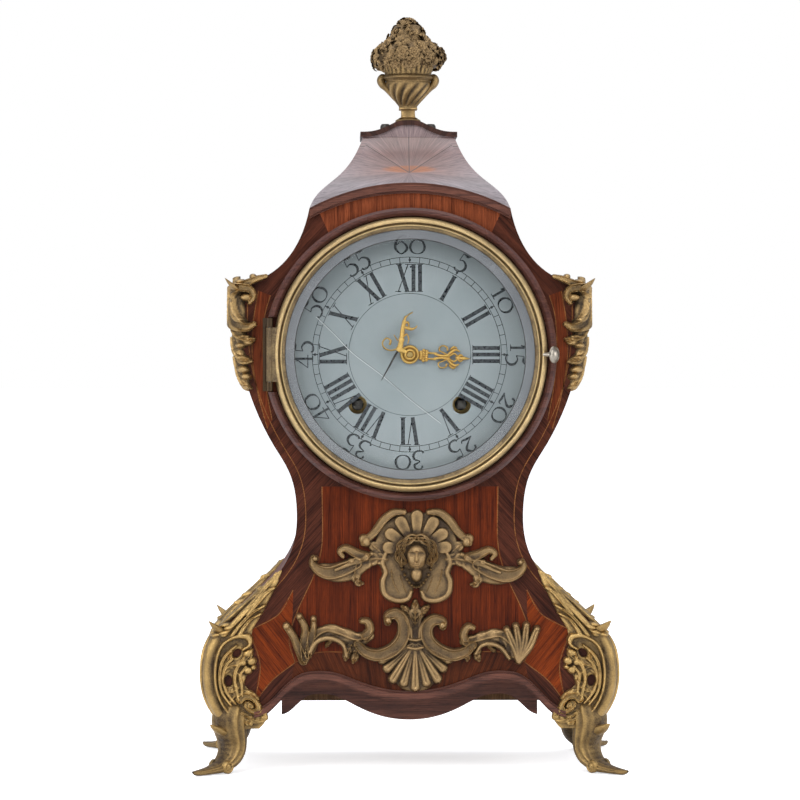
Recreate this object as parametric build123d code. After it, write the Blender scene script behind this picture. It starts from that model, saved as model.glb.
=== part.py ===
from build123d import *
import math
import os

# Waisted mantel clock with gilt mounts. X is to the right, the front faces -Y, Z is up from the floor.

# Case outline, half widths and heights
CASE_DEPTH = 124
DIAL_HEIGHT = 279.5
NECK_HALF = 67
NECK_ABOVE_DIAL = 97.5
ARCH_RISE = 17
SHOULDER_HALF = 114
SHOULDER_ABOVE_DIAL = 46.5
WAIST_HALF = 75.5
WAIST_BELOW_DIAL = 108.5
FLARE_HALF = 135
FLARE_HEIGHT = 66
BASE_HALF = 125
BASE_HEIGHT = 36
HEEL_HALF = 104
APRON_PEAK_HALF = 60
APRON_PEAK_HEIGHT = 61.5
APRON_DIP_HEIGHT = 48
NECK_SHARES = (0.29, 0.63)
BELLY_SHARES = ((0.156, 0.443), (0.605, 0.693))
SKIRT_SHARES = ((0.222, 0.371), (0.815, 0.703))
HEEL_SHARES = ((0.36, 0.42), (0.64, 0.86))
DIP_SHARES = ((0.37, 0.41),)

# Case boards
FRONT_THICKNESS = 14
BACK_THICKNESS = 10
SIDE_THICKNESS = 9
FLOOR_THICKNESS = 9
FLOOR_HEIGHT = 66
APRON_BOARD_HALF = 86
APRON_BOARD_THICKNESS = 10
APRON_BOARD_END_HEIGHT = 37.5
APRON_BOARD_PEAK_HEIGHT = 51.5
APRON_BOARD_DIP_HEIGHT = 34
MOULDING_HEIGHT = 7
MOULDING_PROUD = 5
MOULDING_STEP = 1.6
ROOF_HEIGHT = 50
ROOF_WALL = 8
CAP_HALF = 31
CAP_HALF_DEPTH = 25
CAP_EDGE = 3.5
CAP_RISE = 8
CAP_LIP = 1.8
CAP_CORE_INSET = 1.5
CAP_SHARES = ((0.3, 0.1), (0.62, 0.6))
ROOF_SHARES = ((0, 1), (0.25, 0.78), (0.5, 0.4), (0.75, 0.15), (1, 0))

# Dial, surround and bezel
DIAL_RADIUS = 86
DIAL_GAP = 2
DIAL_THICKNESS = 1.8
DIAL_DOME = 3
DIAL_SETBACK = 11
DIAL_FOOT_RADIUS = 2
DIAL_FOOT_CIRCLE = 52
WINDING_HOLE_RADIUS = 6.2
HAND_HOLE_RADIUS = 5
BEZEL_RADIUS = 91.6
SIGHT_RADIUS = 83
BEZEL_DEPTH = 11
BEZEL_REBATE = 2.4
BEZEL_LIP = 2
GLASS_THICKNESS = 3
GLASS_EDGE = 1.2
GLASS_BEVEL = 8
SURROUND_GAP = 0.7
SURROUND_WIDTH = 5.4
SURROUND_DEPTH = 7
BEZEL_HINGE_RADIUS = 2.2
BEZEL_HINGE_PIN = 1
BEZEL_HINGE_OFFSET = 2
BEZEL_HINGE_REACH = 9
BEZEL_KNUCKLE = 36
BEZEL_END_KNUCKLE = 6
BEZEL_LEAF = 1.8
HINGE_GAP = 0.3
KNOB_RADIUS = 5.5
KNOB_THICKNESS = 3
KNOB_NECK_RADIUS = 2.4
KNOB_NECK = 5
KNOB_LEAN = 37

# Back door
DOOR_MARGIN = 20
DOOR_BELOW_DIAL = 139.5
DOOR_ABOVE_DIAL = 72.5
DOOR_GAP = 0.8
DOOR_HINGE_RADIUS = 2.4
DOOR_HINGE_PIN = 1.2
DOOR_LEAF_WIDTH = 14
DOOR_LEAF_HEIGHT = 36
DOOR_LEAF = 1.4
DOOR_HINGE_INSET = 34
DOOR_KNOB_RADIUS = 6

# Movement frame
PLATE_HALF = 66
PLATE_TOP = 58
PLATE_BOTTOM = 68
PLATE_THICKNESS = 3
PLATE_SPACE = 45
PLATE_BEHIND_DIAL = 26
PILLAR_RADIUS = 4
PILLAR_INSET = 8
SEAT_THICKNESS = 10
SEAT_HALF = 64
SEAT_RAIL = 14
SEAT_LEDGE = 3
SEAT_SCREW_RADIUS = 2
SEAT_SCREW_HEAD = 4
ARBOR_RADIUS = 1.2
FINE_ARBOR_RADIUS = 0.8
PIVOT_CLEARANCE = 0.06
WHEEL_THICKNESS = 2
PINION_LENGTH = 5
LEVEL = 6

# Trains: places from the centre arbor, pitch radii by centre distance
BARREL_X = 34.8
BARREL_DROP = 33.6
BARREL_RADIUS = 25
BARREL_LENGTH = 22
GREAT_THICKNESS = 3
WINDING_RADIUS = 4
WINDING_SQUARE = 5.4
SECOND_X = 23.6
SECOND_DROP = 3.1
THIRD_RISE = 20.4
ESCAPE_RISE = 36.4
PALLET_RISE = 50.6
STRIKE_THIRD_X = 30.6
STRIKE_THIRD_RISE = 16.1
FLY_X = 22
FLY_RISE = 27.1
FLY_HALF = 8.5
FLY_LENGTH = 10
FLY_THICKNESS = 1
MOTION_DROP = 19.2
ESCAPE_RADIUS = 10.2
ESCAPE_DEPTH = 2
PALLET_CLEARANCE = 1
PALLET_WIDTH = 2.4
PIN_CIRCLE = 13.5
PIN_RADIUS = 0.8
PIN_LENGTH = 2.2
GREAT_TEETH = 48
SECOND_TEETH = 48
CENTRE_TEETH = 72
THIRD_TEETH = 66
ESCAPE_TEETH = 30
STRIKE_THIRD_TEETH = 42
PIN_WHEEL_TEETH = 48
LEAVES = 6
CANNON_TEETH = 12
MINUTE_TEETH = 36
MINUTE_LEAVES = 10
HOUR_TEETH = 40
PIN_COUNT = 8
CANNON_RADIUS = 2.4
CENTRE_ARBOR_RADIUS = 1.6
HOUR_PIPE_WALL = 1.1
ADDENDUM_SHARE = 0.75
DEDENDUM_SHARE = 1.15
TOOTH_TIP_SHARE = 0.11
TOOTH_FOOT_SHARE = 0.24
RIM_SHARE = 0.78
HUB_SHARE = 0.3
CROSSING_SHARE = 0.16
ESCAPE_TOOTH_SHARES = ((0, 0), (1, 0.15), (1, 0.3), (0, 0.7))

# Hands
HAND_THICKNESS = 1
HAND_GAP = 1.6
HOUR_LENGTH = 40
HOUR_ANGLE = -3.8
HAND_BOSS_RADIUS = 4.6
COLLET_RADIUS = 3.7
HOUR_LOOP_TURN = 12
HOUR_PETAL_TURN = 38
MINUTE_REACH = 26
MINUTE_WIDTH = 1.3
MINUTE_TAIL = 25
MINUTE_TAIL_TURN = 236

# Outline shares of the hands, of the hour hand's length and the minute hand's reach
HOUR_STEM_SHARES = ((0, -0.04), (0.55, -0.025), (0.55, 0.025), (0, 0.04))
HOUR_TIP_SHARES = ((0.78, -0.05), (1, 0), (0.78, 0.05))
HOUR_BLADE_SHARES = (0.68, 0, 0.2, 0.06)
HOUR_LOOP_SHARES = (0.36, 0.085, 0.13, 0.075)
HOUR_LOOP_HOLE_SHARES = (0.36, 0.085, 0.085, 0.035)
HOUR_PETAL_SHARES = (0.6, 0.09, 0.13, 0.042)
MINUTE_BLADE_SHARES = ((-0.1, 0), (-0.2, 1), (-0.08, 1), (0.1, 0))
MINUTE_BOSS_SHARES = (-0.22, 0.2, 0.17)
MINUTE_CURL_SHARES = ((-0.4, 0.36, 0.16, 0.09), (0.08, 0.74, 0.16, 0.09), (-0.04, 1, 0.16, 0.09))

# Pendulum, bell and hammer
COCK_WIDTH = 30
COCK_HEIGHT = 18
COCK_STANDOFF = 7
COCK_THICKNESS = 2.4
STUD_RADIUS = 1.5
STUD_LENGTH = 9
CRUTCH_WIDTH = 3
CRUTCH_DROP = 34
CRUTCH_PRONG = 2
PENDULUM_FLOOR_GAP = 22
PENDULUM_ROD = 1.3
PENDULUM_EYE = 3.6
PENDULUM_THICKNESS = 3
BOB_RADIUS = 20
BOB_THICKNESS = 12
RATING_NUT_RADIUS = 4.5
RATING_NUT_HEIGHT = 4
BELL_RADIUS = 28
BELL_HEIGHT = 24
BELL_WALL = 1.8
BELL_GAP = 10
BELL_SCREW_RADIUS = 2
BELL_POST_WIDTH = 8
BELL_POST_THICKNESS = 4
BELL_POST_GAP = 2
HAMMER_X = 44
HAMMER_RISE = 46
HAMMER_HEAD_RADIUS = 4.5
HAMMER_HEAD_LENGTH = 12
HAMMER_GAP = 1.2
HAMMER_ARM = 2.4

# Gilt mounts
CASTING = 5
FOOT_TOP_SHARE = 0.784
FOOT_WIDTH = 50
FOOT_DEPTH = 18
FOOT_LEG_INSET = 6
FOOT_STRAP_REACH = 35
FOOT_STRAP_WIDTH = 10
ROSETTE_RADIUS = 7.5
SPUR_RADIUS = 2
SPUR_LENGTH = 11
TOE_REACH = 34
TOE_HEIGHT = 14
TOE_WIDTH = 20
TOE_SOLE = 0.8
SHOULDER_MOUNT_RISE = 6
SHOULDER_MOUNT_DROP = 70
SHOULDER_MOUNT_WIDTH = 34
SHOULDER_MOUNT_DEPTH = 17
MOUNT_SHIFT = 3.3
MASK_UP_SHARE = 0.71
MASK_HEAD_SHARES = (0.087, 0.1, 0.114)
MASK_SHELL_SHARE = 0.23
MASK_SHELL_LOBES = 9
APRON_UP_SHARE = 0.26
APRON_SHELL_SHARE = 0.26
APRON_SHELL_LOBES = 7
ARM_REACH_SHARE = 0.64
ARM_HEIGHT_SHARE = 0.24
ARM_WIDTH_SHARE = 0.068
FINIAL_PLATE_HALF = 8
FINIAL_PLATE = 4
FINIAL_STEM_RADIUS = 6.5
FINIAL_STEM = 7
URN_RADIUS = 22
URN_HEIGHT = 27
FLOWER_MASS_RADIUS = 22
FLOWER_MASS_HEIGHT = 31
FLOWER_RADIUS = 13
FLOWER_DEPTH = 7
FINIAL_ROD_RADIUS = 2.5
FINIAL_ROD = 18
SCREW_HEAD_RADIUS = 3.6
SCREW_HEAD = 2.6
SCREW_PLACE = 15.5
SCREW_SEAT_SHARE = 0.55
OVERRUN = 1

# Station shares of the corner castings: height, outward place, half width, half depth
FOOT_SHARES = (
    (1.0, 0.1, 0.06, 0.1),
    (0.86, 0.12, 0.2, 0.26),
    (0.68, 0.14, 0.26, 0.36),
    (0.49, 0.14, 0.24, 0.36),
    (0.3, 0.08, 0.22, 0.4),
)
LEG_SHARES = (
    (0.34, 0.05, 0.2, 0.5),
    (0.25, -0.2, 0.26, 0.62),
    (0.15, -0.45, 0.24, 0.6),
    (0.07, -0.35, 0.2, 0.6),
    (0.0, 0.0, 0.19, 0.62),
)
TOE_SHARES = ((-0.15, 0.42, 0.5), (0.3, 0.5, 0.5), (0.7, 0.36, 0.34), (1.0, 0.12, 0.16))
SHOULDER_SHARES = (
    (0.0, 0.15, 0.2, 0.24),
    (0.13, 0.22, 0.42, 0.46),
    (0.32, 0.16, 0.46, 0.46),
    (0.62, 0.06, 0.34, 0.32),
    (0.86, 0.0, 0.2, 0.2),
    (1.0, 0.0, 0.07, 0.1),
)

# Strap shares of the foot: inward from the corner, up, width
FOOT_SCROLL_SHARES = (
    (0.62, 0.655, 0.5), (0.5, 0.675, 0.7), (0.28, 0.66, 0.9),
    (0.1, 0.58, 1.0), (0.05, 0.45, 1.0), (0.04, 0.3, 0.9),
)
FOOT_LEAF_SHARES = (
    (0.78, 0.64, 1.0), (0.64, 0.55, 1.2), (0.52, 0.47, 1.1), (0.42, 0.38, 1.0),
    (0.28, 0.31, 1.1), (0.1, 0.3, 1.0),
)
FOOT_ACANTHUS_SHARES = ((0.08, 0.6, 1.3), (0.17, 0.74, 1.3), (0.14, 0.85, 1.0), (0.05, 0.96, 0.6))
ROSETTE_SHARES = (0.66, 0.325)
SPUR_UP_SHARES = (0.24, 0.74)

# Strap shares of the flat mounts: across, up, width
MASK_STRAP_SHARES = (
    ((0.3, 0.03, 1.1), (0.5, 0.03, 1.0), (0.62, -0.22, 1.1),
     (0.8, -0.36, 1.0), (0.95, -0.3, 0.8), (0.99, 0.0, 0.5)),
    ((0.1, -0.4, 1.6), (0.2, -0.6, 2.0), (0.2, -0.8, 1.9), (0.08, -0.9, 1.0)),
    ((0.16, 0.9, 0.9), (0.36, 0.72, 0.9), (0.47, 0.42, 0.8)),
)
APRON_STRAP_SHARES = (
    ((0.21, 0.5, 0.6), (0.12, 0.52, 0.9), (0.085, 0.15, 1.0), (0.17, -0.2, 1.1),
     (0.31, -0.32, 1.1), (0.42, -0.12, 1.0)),
    ((0.4, -0.1, 1.2), (0.57, 0.16, 1.3), (0.7, 0.15, 1.2),
     (0.81, -0.1, 1.2), (0.88, -0.25, 1.2), (0.96, 0.4, 0.5)),
    ((0.03, 0.7, 1.0), (0.03, 0.4, 1.0), (0.04, 0.0, 1.0), (0.06, -0.2, 1.2)),
    ((0.82, -0.1, 1.0), (0.8, 0.3, 0.8), (0.84, 0.6, 0.5)),
    ((0.46, 0.0, 1.0), (0.4, 0.28, 0.8), (0.37, 0.48, 0.5)),
)
FLOWER_SHARES = ((0, -0.6), (0.6, -0.3), (1, 0.2), (0.9, 0.35), (0.5, 0.08), (0.28, 0.3), (0, 0.4))
BELL_SHARES = ((1, 0), (0.93, 0.25), (0.82, 0.6), (0.55, 0.9), (0, 1))
URN_SHARES = (
    (0.3, 0.0), (0.36, 0.06), (0.62, 0.16), (0.93, 0.4), (0.98, 0.56), (1.0, 0.62), (1.0, 0.74),
    (0.86, 0.76), (0.62, 0.82), (0.66, 0.92), (0.78, 1.0),
)

# Places worked out from the sizes above
NECK_HEIGHT = DIAL_HEIGHT + NECK_ABOVE_DIAL
SHOULDER_HEIGHT = DIAL_HEIGHT + SHOULDER_ABOVE_DIAL
WAIST_HEIGHT = DIAL_HEIGHT - WAIST_BELOW_DIAL
FOOT_TOP = WAIST_HEIGHT * FOOT_TOP_SHARE
DOOR_BOTTOM = DIAL_HEIGHT - DOOR_BELOW_DIAL
DOOR_TOP = DIAL_HEIGHT + DOOR_ABOVE_DIAL
SURROUND_OUTER = BEZEL_RADIUS + SURROUND_GAP + SURROUND_WIDTH
MOUNT_BOTTOM = APRON_DIP_HEIGHT + MOULDING_HEIGHT
MOUNT_SPACE = DIAL_HEIGHT - SURROUND_OUTER - MOUNT_BOTTOM
MASK_HEIGHT = MOUNT_BOTTOM + MOUNT_SPACE * MASK_UP_SHARE
APRON_MOUNT_HEIGHT = MOUNT_BOTTOM + MOUNT_SPACE * APRON_UP_SHARE
FRONT_Y = -CASE_DEPTH / 2
BACK_Y = CASE_DEPTH / 2
INNER_FRONT_Y = FRONT_Y + FRONT_THICKNESS
INNER_BACK_Y = BACK_Y - BACK_THICKNESS
CAP_BOTTOM = NECK_HEIGHT + ROOF_HEIGHT
CAP_TOP = CAP_BOTTOM + CAP_EDGE + CAP_RISE
PLATE_FRONT_Y = FRONT_Y + PLATE_BEHIND_DIAL
PLATE_INNER_Y = PLATE_FRONT_Y + PLATE_THICKNESS
BACK_PLATE_Y = PLATE_INNER_Y + PLATE_SPACE
MOVEMENT_BACK_Y = BACK_PLATE_Y + PLATE_THICKNESS
SEAT_TOP = DIAL_HEIGHT - PLATE_BOTTOM
DIAL_FRONT_Y = FRONT_Y + DIAL_SETBACK
HINGE_X = -(BEZEL_RADIUS + BEZEL_HINGE_OFFSET)
HINGE_Y = FRONT_Y - BEZEL_HINGE_REACH
DOOR_HALF = WAIST_HALF - DOOR_MARGIN
DOOR_HINGE_X = DOOR_HALF + DOOR_GAP
DOOR_HINGE_Y = BACK_Y + DOOR_HINGE_RADIUS

parts = {}


def between(start, end, shares):
    """The point at the given shares of the way across and up from start to end."""
    return tuple(a + (b - a) * share for a, b, share in zip(start, end, shares))


def facing(back_y):
    """The plane at back_y whose own x and y are the clock's X and Z."""
    return Plane(origin=(0, back_y, 0), x_dir=(1, 0, 0), z_dir=(0, -1, 0))


def slab(face, front_y, back_y):
    """A front-view face made solid between two depths."""
    return extrude(facing(back_y) * face, amount=back_y - front_y, dir=(0, -1, 0))


def disc(x, z, radius):
    return Pos(x, z) * Circle(radius)


def rod(x, z, radius, front_y, back_y):
    return slab(disc(x, z, radius), front_y, back_y)


def bar(half_width, bottom, top, middle=0):
    """An upright rectangle in the front view."""
    return Pos(middle, (bottom + top) / 2) * Rectangle(2 * half_width, top - bottom)


def block(low, high):
    """A box from its lowest to its highest corner."""
    size = [b - a for a, b in zip(low, high)]
    middle = [(a + b) / 2 for a, b in zip(low, high)]
    return Pos(*middle) * Box(*size)


def both_sides(edges):
    return list(edges) + [mirror(edge, about=Plane.YZ) for edge in edges]


def add(name, *solids):
    """Keep the solids of one piece under its name."""
    parts[name] = [solid for shape in solids for solid in shape.solids()]


# Case outline

def side_curves(inset):
    """The right side of the case from the neck down to the base, drawn in by inset."""
    neck = (NECK_HALF - inset, NECK_HEIGHT)
    shoulder = (SHOULDER_HALF - inset, SHOULDER_HEIGHT - inset)
    waist = (WAIST_HALF - inset, WAIST_HEIGHT)
    flare = (FLARE_HALF - inset, FLARE_HEIGHT)
    base = (BASE_HALF - inset, BASE_HEIGHT)
    belly = [between(shoulder, waist, shares) for shares in BELLY_SHARES]
    skirt = [between(waist, flare, shares) for shares in SKIRT_SHARES]
    return [
        Spline(neck, between(neck, shoulder, NECK_SHARES), shoulder, tangents=[(0.2, -1), (1, -0.15)]),
        Spline(shoulder, *belly, waist, tangents=[(0.03, -1), (0, -1)]),
        Spline(waist, *skirt, flare, tangents=[(0, -1), (0, -1)]),
        Spline(flare, base, tangents=[(0, -1), (-0.75, -1)]),
    ]


def level_line(half, height):
    return Line((-half, height), (half, height))


def body_face(inset):
    """The whole front view of the case with a level top and bottom, drawn in by inset."""
    ends = [level_line(NECK_HALF - inset, NECK_HEIGHT), level_line(BASE_HALF - inset, BASE_HEIGHT)]
    return make_face(both_sides(side_curves(inset)) + ends)


SIDE_CURVES = side_curves(0)


def half_width_at(height):
    """Half the case's width at a height, read from the side curves."""
    if height <= BASE_HEIGHT:
        return BASE_HALF
    if height >= SHOULDER_HEIGHT:
        return SHOULDER_HALF
    curve = next(c for c in SIDE_CURVES[1:] if c.position_at(1).Y <= height)
    low, high = 0.0, 1.0
    for _ in range(30):
        middle = (low + high) / 2
        if curve.position_at(middle).Y > height:
            low = middle
        else:
            high = middle
    return curve.position_at(low).X


def serpentine(heel, peak, dip):
    """The right half of the apron's lower edge, from its heel over the peak to the middle."""
    rise = Spline(heel, *[between(heel, peak, s) for s in HEEL_SHARES], peak, tangents=[(-1, 0.2), (-1, 0)])
    fall = Spline(peak, *[between(peak, dip, s) for s in DIP_SHARES], dip, tangents=[(-1, 0), (-1, 0)])
    return [rise, fall]


def arch(drop):
    return ThreePointArc(
        (-NECK_HALF, NECK_HEIGHT - drop),
        (0, NECK_HEIGHT + ARCH_RISE - drop),
        (NECK_HALF, NECK_HEIGHT - drop),
    )


def apron_edge(lift):
    """The front panel's lower edge, both halves, moved up by lift."""
    return serpentine(
        (HEEL_HALF, BASE_HEIGHT + lift),
        (APRON_PEAK_HALF, APRON_PEAK_HEIGHT + lift),
        (0, APRON_DIP_HEIGHT + lift),
    )


BODY = body_face(0)
INSIDE = body_face(SIDE_THICKNESS)


def make_case():
    lower = [Line((BASE_HALF, BASE_HEIGHT), (HEEL_HALF, BASE_HEIGHT))] + apron_edge(0)
    front = make_face(both_sides(SIDE_CURVES + lower) + [arch(0)])
    opening = disc(0, DIAL_HEIGHT, DIAL_RADIUS + DIAL_GAP)
    add("front_panel", slab(front - opening, FRONT_Y, INNER_FRONT_Y))

    wall_ends = [
        Line((half - SIDE_THICKNESS, height), (half, height))
        for half, height in ((NECK_HALF, NECK_HEIGHT), (BASE_HALF, BASE_HEIGHT))
    ]
    wall = make_face(SIDE_CURVES + side_curves(SIDE_THICKNESS) + wall_ends)
    side = slab(wall, INNER_FRONT_Y, INNER_BACK_Y)
    add("side_right", side)
    add("side_left", mirror(side, about=Plane.YZ))

    door_opening = bar(DOOR_HALF + DOOR_GAP, DOOR_BOTTOM - DOOR_GAP, DOOR_TOP + DOOR_GAP)
    back = make_face(both_sides(SIDE_CURVES) + [arch(0), level_line(BASE_HALF, BASE_HEIGHT)])
    add("back_frame", slab(back - door_opening, INNER_BACK_Y, BACK_Y))

    floor = INSIDE & bar(FLARE_HALF, FLOOR_HEIGHT, FLOOR_HEIGHT + FLOOR_THICKNESS)
    add("case_floor", slab(floor, INNER_FRONT_Y, INNER_BACK_Y))

    end = (APRON_BOARD_HALF, APRON_BOARD_END_HEIGHT)
    edge = serpentine(end, (APRON_PEAK_HALF, APRON_BOARD_PEAK_HEIGHT), (0, APRON_BOARD_DIP_HEIGHT))
    ends = [Line(end, (APRON_BOARD_HALF, FLOOR_HEIGHT))]
    apron = make_face(both_sides(edge + ends) + [level_line(APRON_BOARD_HALF, FLOOR_HEIGHT)])
    add("apron_board", slab(apron, INNER_FRONT_Y, INNER_FRONT_Y + APRON_BOARD_THICKNESS))


def stepped(band, narrow_band):
    """A two-step moulding on the front panel."""
    middle_y = FRONT_Y - MOULDING_PROUD / 2
    return slab(band, middle_y, FRONT_Y) + slab(narrow_band, FRONT_Y - MOULDING_PROUD, middle_y)


def apron_band(low, high):
    """The strip of the front panel between two lifts above its lower edge."""
    ends = [Line((HEEL_HALF, BASE_HEIGHT + low), (HEEL_HALF, BASE_HEIGHT + high))]
    return make_face(both_sides(apron_edge(low) + apron_edge(high) + ends))


def make_mouldings():
    def arch_band(low, high):
        ends = [Line((x, NECK_HEIGHT - high), (x, NECK_HEIGHT - low)) for x in (-NECK_HALF, NECK_HALF)]
        return make_face([arch(low), arch(high)] + ends)

    narrow = MOULDING_HEIGHT - MOULDING_STEP
    add("cornice_moulding", stepped(arch_band(0, MOULDING_HEIGHT), arch_band(MOULDING_STEP, narrow)))
    add("apron_moulding", stepped(apron_band(0, MOULDING_HEIGHT), apron_band(MOULDING_STEP, narrow)))


def bell_loft(inset, top_drop):
    """The roof's four-sided bell, drawn in by inset on every side."""
    sections = []
    for height_share, spread_share in ROOF_SHARES:
        height = NECK_HEIGHT + (ROOF_HEIGHT - top_drop) * height_share
        half = CAP_HALF + (NECK_HALF - CAP_HALF) * spread_share - inset
        half_depth = CAP_HALF_DEPTH + (BACK_Y - CAP_HALF_DEPTH) * spread_share - inset
        sections.append(Pos(0, 0, height) * Rectangle(2 * half, 2 * half_depth))
    return loft(sections)


def make_roof():
    gable = make_face([arch(0), level_line(NECK_HALF, NECK_HEIGHT)])
    boards = slab(gable, FRONT_Y - OVERRUN, INNER_FRONT_Y) + slab(gable, INNER_BACK_Y, BACK_Y + OVERRUN)
    rod_hole = Pos(0, 0, CAP_BOTTOM) * Cylinder(FINIAL_ROD_RADIUS, 2 * ROOF_WALL)
    add("roof", bell_loft(0, 0) - bell_loft(ROOF_WALL, ROOF_WALL) - boards - rod_hole)

    def ogee(half, drop):
        """The cap's cupid's-bow edge, from the left end over the middle, moved down by drop."""
        end, peak = (half, CAP_BOTTOM + CAP_EDGE - drop), (0, CAP_TOP - drop)
        bends = [between(end, peak, shares) for shares in CAP_SHARES]
        return both_sides([Spline(end, *bends, peak, tangents=[(-1, 0), (-1, 0)])])

    half = CAP_HALF + CAP_LIP
    core_half = half - CAP_CORE_INSET
    ends = [Line((x, CAP_BOTTOM), (x, CAP_BOTTOM + CAP_EDGE)) for x in (-half, half)]
    board = make_face(ogee(half, 0) + ogee(half, CAP_EDGE) + ends)
    core_ends = [Line((x, CAP_BOTTOM), (x, CAP_BOTTOM + CAP_EDGE)) for x in (-core_half, core_half)]
    core = make_face(ogee(core_half, 0) + core_ends + [level_line(core_half, CAP_BOTTOM)])
    depth = CAP_HALF_DEPTH + CAP_LIP
    core_depth = depth - CAP_CORE_INSET
    cap_hole = Pos(0, 0, CAP_BOTTOM) * Cylinder(FINIAL_ROD_RADIUS, 2 * (CAP_TOP - CAP_BOTTOM) + OVERRUN)
    add("top_cap", slab(board, -depth, depth) + slab(core, -core_depth, core_depth) - cap_hole)

    # The cap falls away from its middle, so a screw head beside it sits lower
    low = CAP_BOTTOM + CAP_EDGE
    seat = low + (CAP_TOP - low) * SCREW_SEAT_SHARE
    heads = []
    for side in (-1, 1):
        dome = Pos(side * SCREW_PLACE, 0, seat) * Sphere(SCREW_HEAD_RADIUS)
        above = block(
            (side * SCREW_PLACE - SCREW_HEAD_RADIUS, -SCREW_HEAD_RADIUS, seat - SCREW_HEAD_RADIUS),
            (side * SCREW_PLACE + SCREW_HEAD_RADIUS, SCREW_HEAD_RADIUS, seat + SCREW_HEAD),
        )
        heads.append((dome & above) - parts["top_cap"][0])
    add("cap_screws", *heads)


# Gilt mounts

CASE_BLOCK = slab(BODY, FRONT_Y, BACK_Y)


def corner_section(height, outward, half_width, half_depth):
    """An upright casting's section across the front right corner, at a place outward from the case."""
    x = half_width_at(height) + outward / math.sqrt(2)
    y = FRONT_Y - outward / math.sqrt(2)
    plane = Plane(origin=(x, y, height), x_dir=(1, 1, 0), z_dir=(0, 0, 1))
    return plane * Ellipse(half_width, half_depth)


def toe():
    """The foot's toe, which runs out along the corner's diagonal and lies flat on the floor."""
    start = half_width_at(0) - FOOT_LEG_INSET
    sections = []
    for reach_share, width_share, height_share in TOE_SHARES:
        step = TOE_REACH * reach_share / math.sqrt(2)
        half_height = TOE_HEIGHT * height_share
        origin = (start + step, FRONT_Y + FOOT_LEG_INSET - step, half_height - TOE_SOLE)
        plane = Plane(origin=origin, x_dir=(1, 1, 0), z_dir=(1, -1, 0))
        sections.append(plane * Ellipse(TOE_WIDTH * width_share, half_height))
    return loft(sections)


def strap(points):
    """A scrolled strap in the front view, through points that each have a width."""
    line = Spline(*[(x, z) for x, z, _ in points])
    left, right = [], []
    for x, z, width in points:
        tangent = line.tangent_at(line.param_at_point((x, z)))
        normal = Vector(-tangent.Y, tangent.X) * (width / 2)
        left.append(Vector(x, z) + normal)
        right.append(Vector(x, z) - normal)
    ends = [Line(left[0], right[0]), Line(left[-1], right[-1])]
    return make_face([Spline(*left), Spline(*right)] + ends)


def foot_points(shares):
    """Strap points on the front face, counted inward from the case's side at each height."""
    return [
        (half_width_at(FOOT_TOP * up) - FOOT_STRAP_REACH * inward, FOOT_TOP * up, FOOT_STRAP_WIDTH * wide)
        for inward, up, wide in shares
    ]


def side_points(shares):
    """The same strap points on the case's side, counted back from the front."""
    return [
        (FRONT_Y + FOOT_STRAP_REACH * inward, FOOT_TOP * up, FOOT_STRAP_WIDTH * wide)
        for inward, up, wide in shares
    ]


def spur(height):
    """A pointed leaf tip that stands out from the corner's diagonal."""
    out = SPUR_LENGTH / math.sqrt(2)
    place = (half_width_at(height), FRONT_Y, height)
    plane = Plane(origin=place, x_dir=(1, 1, 0), z_dir=(out, -out, SPUR_LENGTH / 2))
    return plane * Pos(0, 0, SPUR_LENGTH / 2) * Cone(2 * SPUR_RADIUS, SPUR_RADIUS / 4, SPUR_LENGTH)


def make_feet():
    def upright_loft(table):
        return loft(
            [
                corner_section(FOOT_TOP * up, FOOT_DEPTH * out, FOOT_WIDTH * wide, FOOT_DEPTH * deep)
                for up, out, wide, deep in table
            ]
        )

    inward, up = ROSETTE_SHARES
    rosette_z = FOOT_TOP * up
    front = disc(half_width_at(rosette_z) - FOOT_STRAP_REACH * inward, rosette_z, ROSETTE_RADIUS)
    side = disc(FRONT_Y + FOOT_STRAP_REACH * inward, rosette_z, ROSETTE_RADIUS)
    for shares in (FOOT_SCROLL_SHARES, FOOT_LEAF_SHARES, FOOT_ACANTHUS_SHARES):
        front += strap(foot_points(shares))
        side += strap(side_points(shares))
    floor_cut = Pos(BASE_HALF, FRONT_Y, -FOOT_WIDTH) * Box(4 * FOOT_WIDTH, 4 * FOOT_WIDTH, 2 * FOOT_WIDTH)
    shell = slab(body_face(-CASTING), FRONT_Y - CASTING, BACK_Y) - CASE_BLOCK
    side_shell = slab(body_face(-CASTING) - body_face(0), FRONT_Y, BACK_Y)
    across = extrude(Plane.YZ * side, amount=2 * FLARE_HALF)
    straps = slab(front, FRONT_Y - CASTING, FRONT_Y) + (across & side_shell)
    foot = straps + (upright_loft(FOOT_SHARES) & shell) + upright_loft(LEG_SHARES) + toe()
    for up in SPUR_UP_SHARES:
        foot += spur(FOOT_TOP * up)
    moulding = slab(apron_band(0, MOULDING_HEIGHT), FRONT_Y - 2 * CASTING, FRONT_Y)
    foot = foot - floor_cut - CASE_BLOCK - moulding
    back = mirror(foot, about=Plane.XZ)
    add("foot_front_right", foot)
    add("foot_front_left", mirror(foot, about=Plane.YZ))
    add("foot_back_right", back)
    add("foot_back_left", mirror(back, about=Plane.YZ))


def make_shoulder_mounts():
    top = SHOULDER_HEIGHT + SHOULDER_MOUNT_RISE
    spine = loft(
        [
            corner_section(
                top - (SHOULDER_MOUNT_RISE + SHOULDER_MOUNT_DROP) * down,
                SHOULDER_MOUNT_DEPTH * out,
                SHOULDER_MOUNT_WIDTH * wide,
                SHOULDER_MOUNT_DEPTH * deep,
            )
            for down, out, wide, deep in SHOULDER_SHARES
        ]
    )
    mount = spine - CASE_BLOCK
    add("shoulder_mount_right", mount)
    add("shoulder_mount_left", mirror(mount, about=Plane.YZ))


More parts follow.
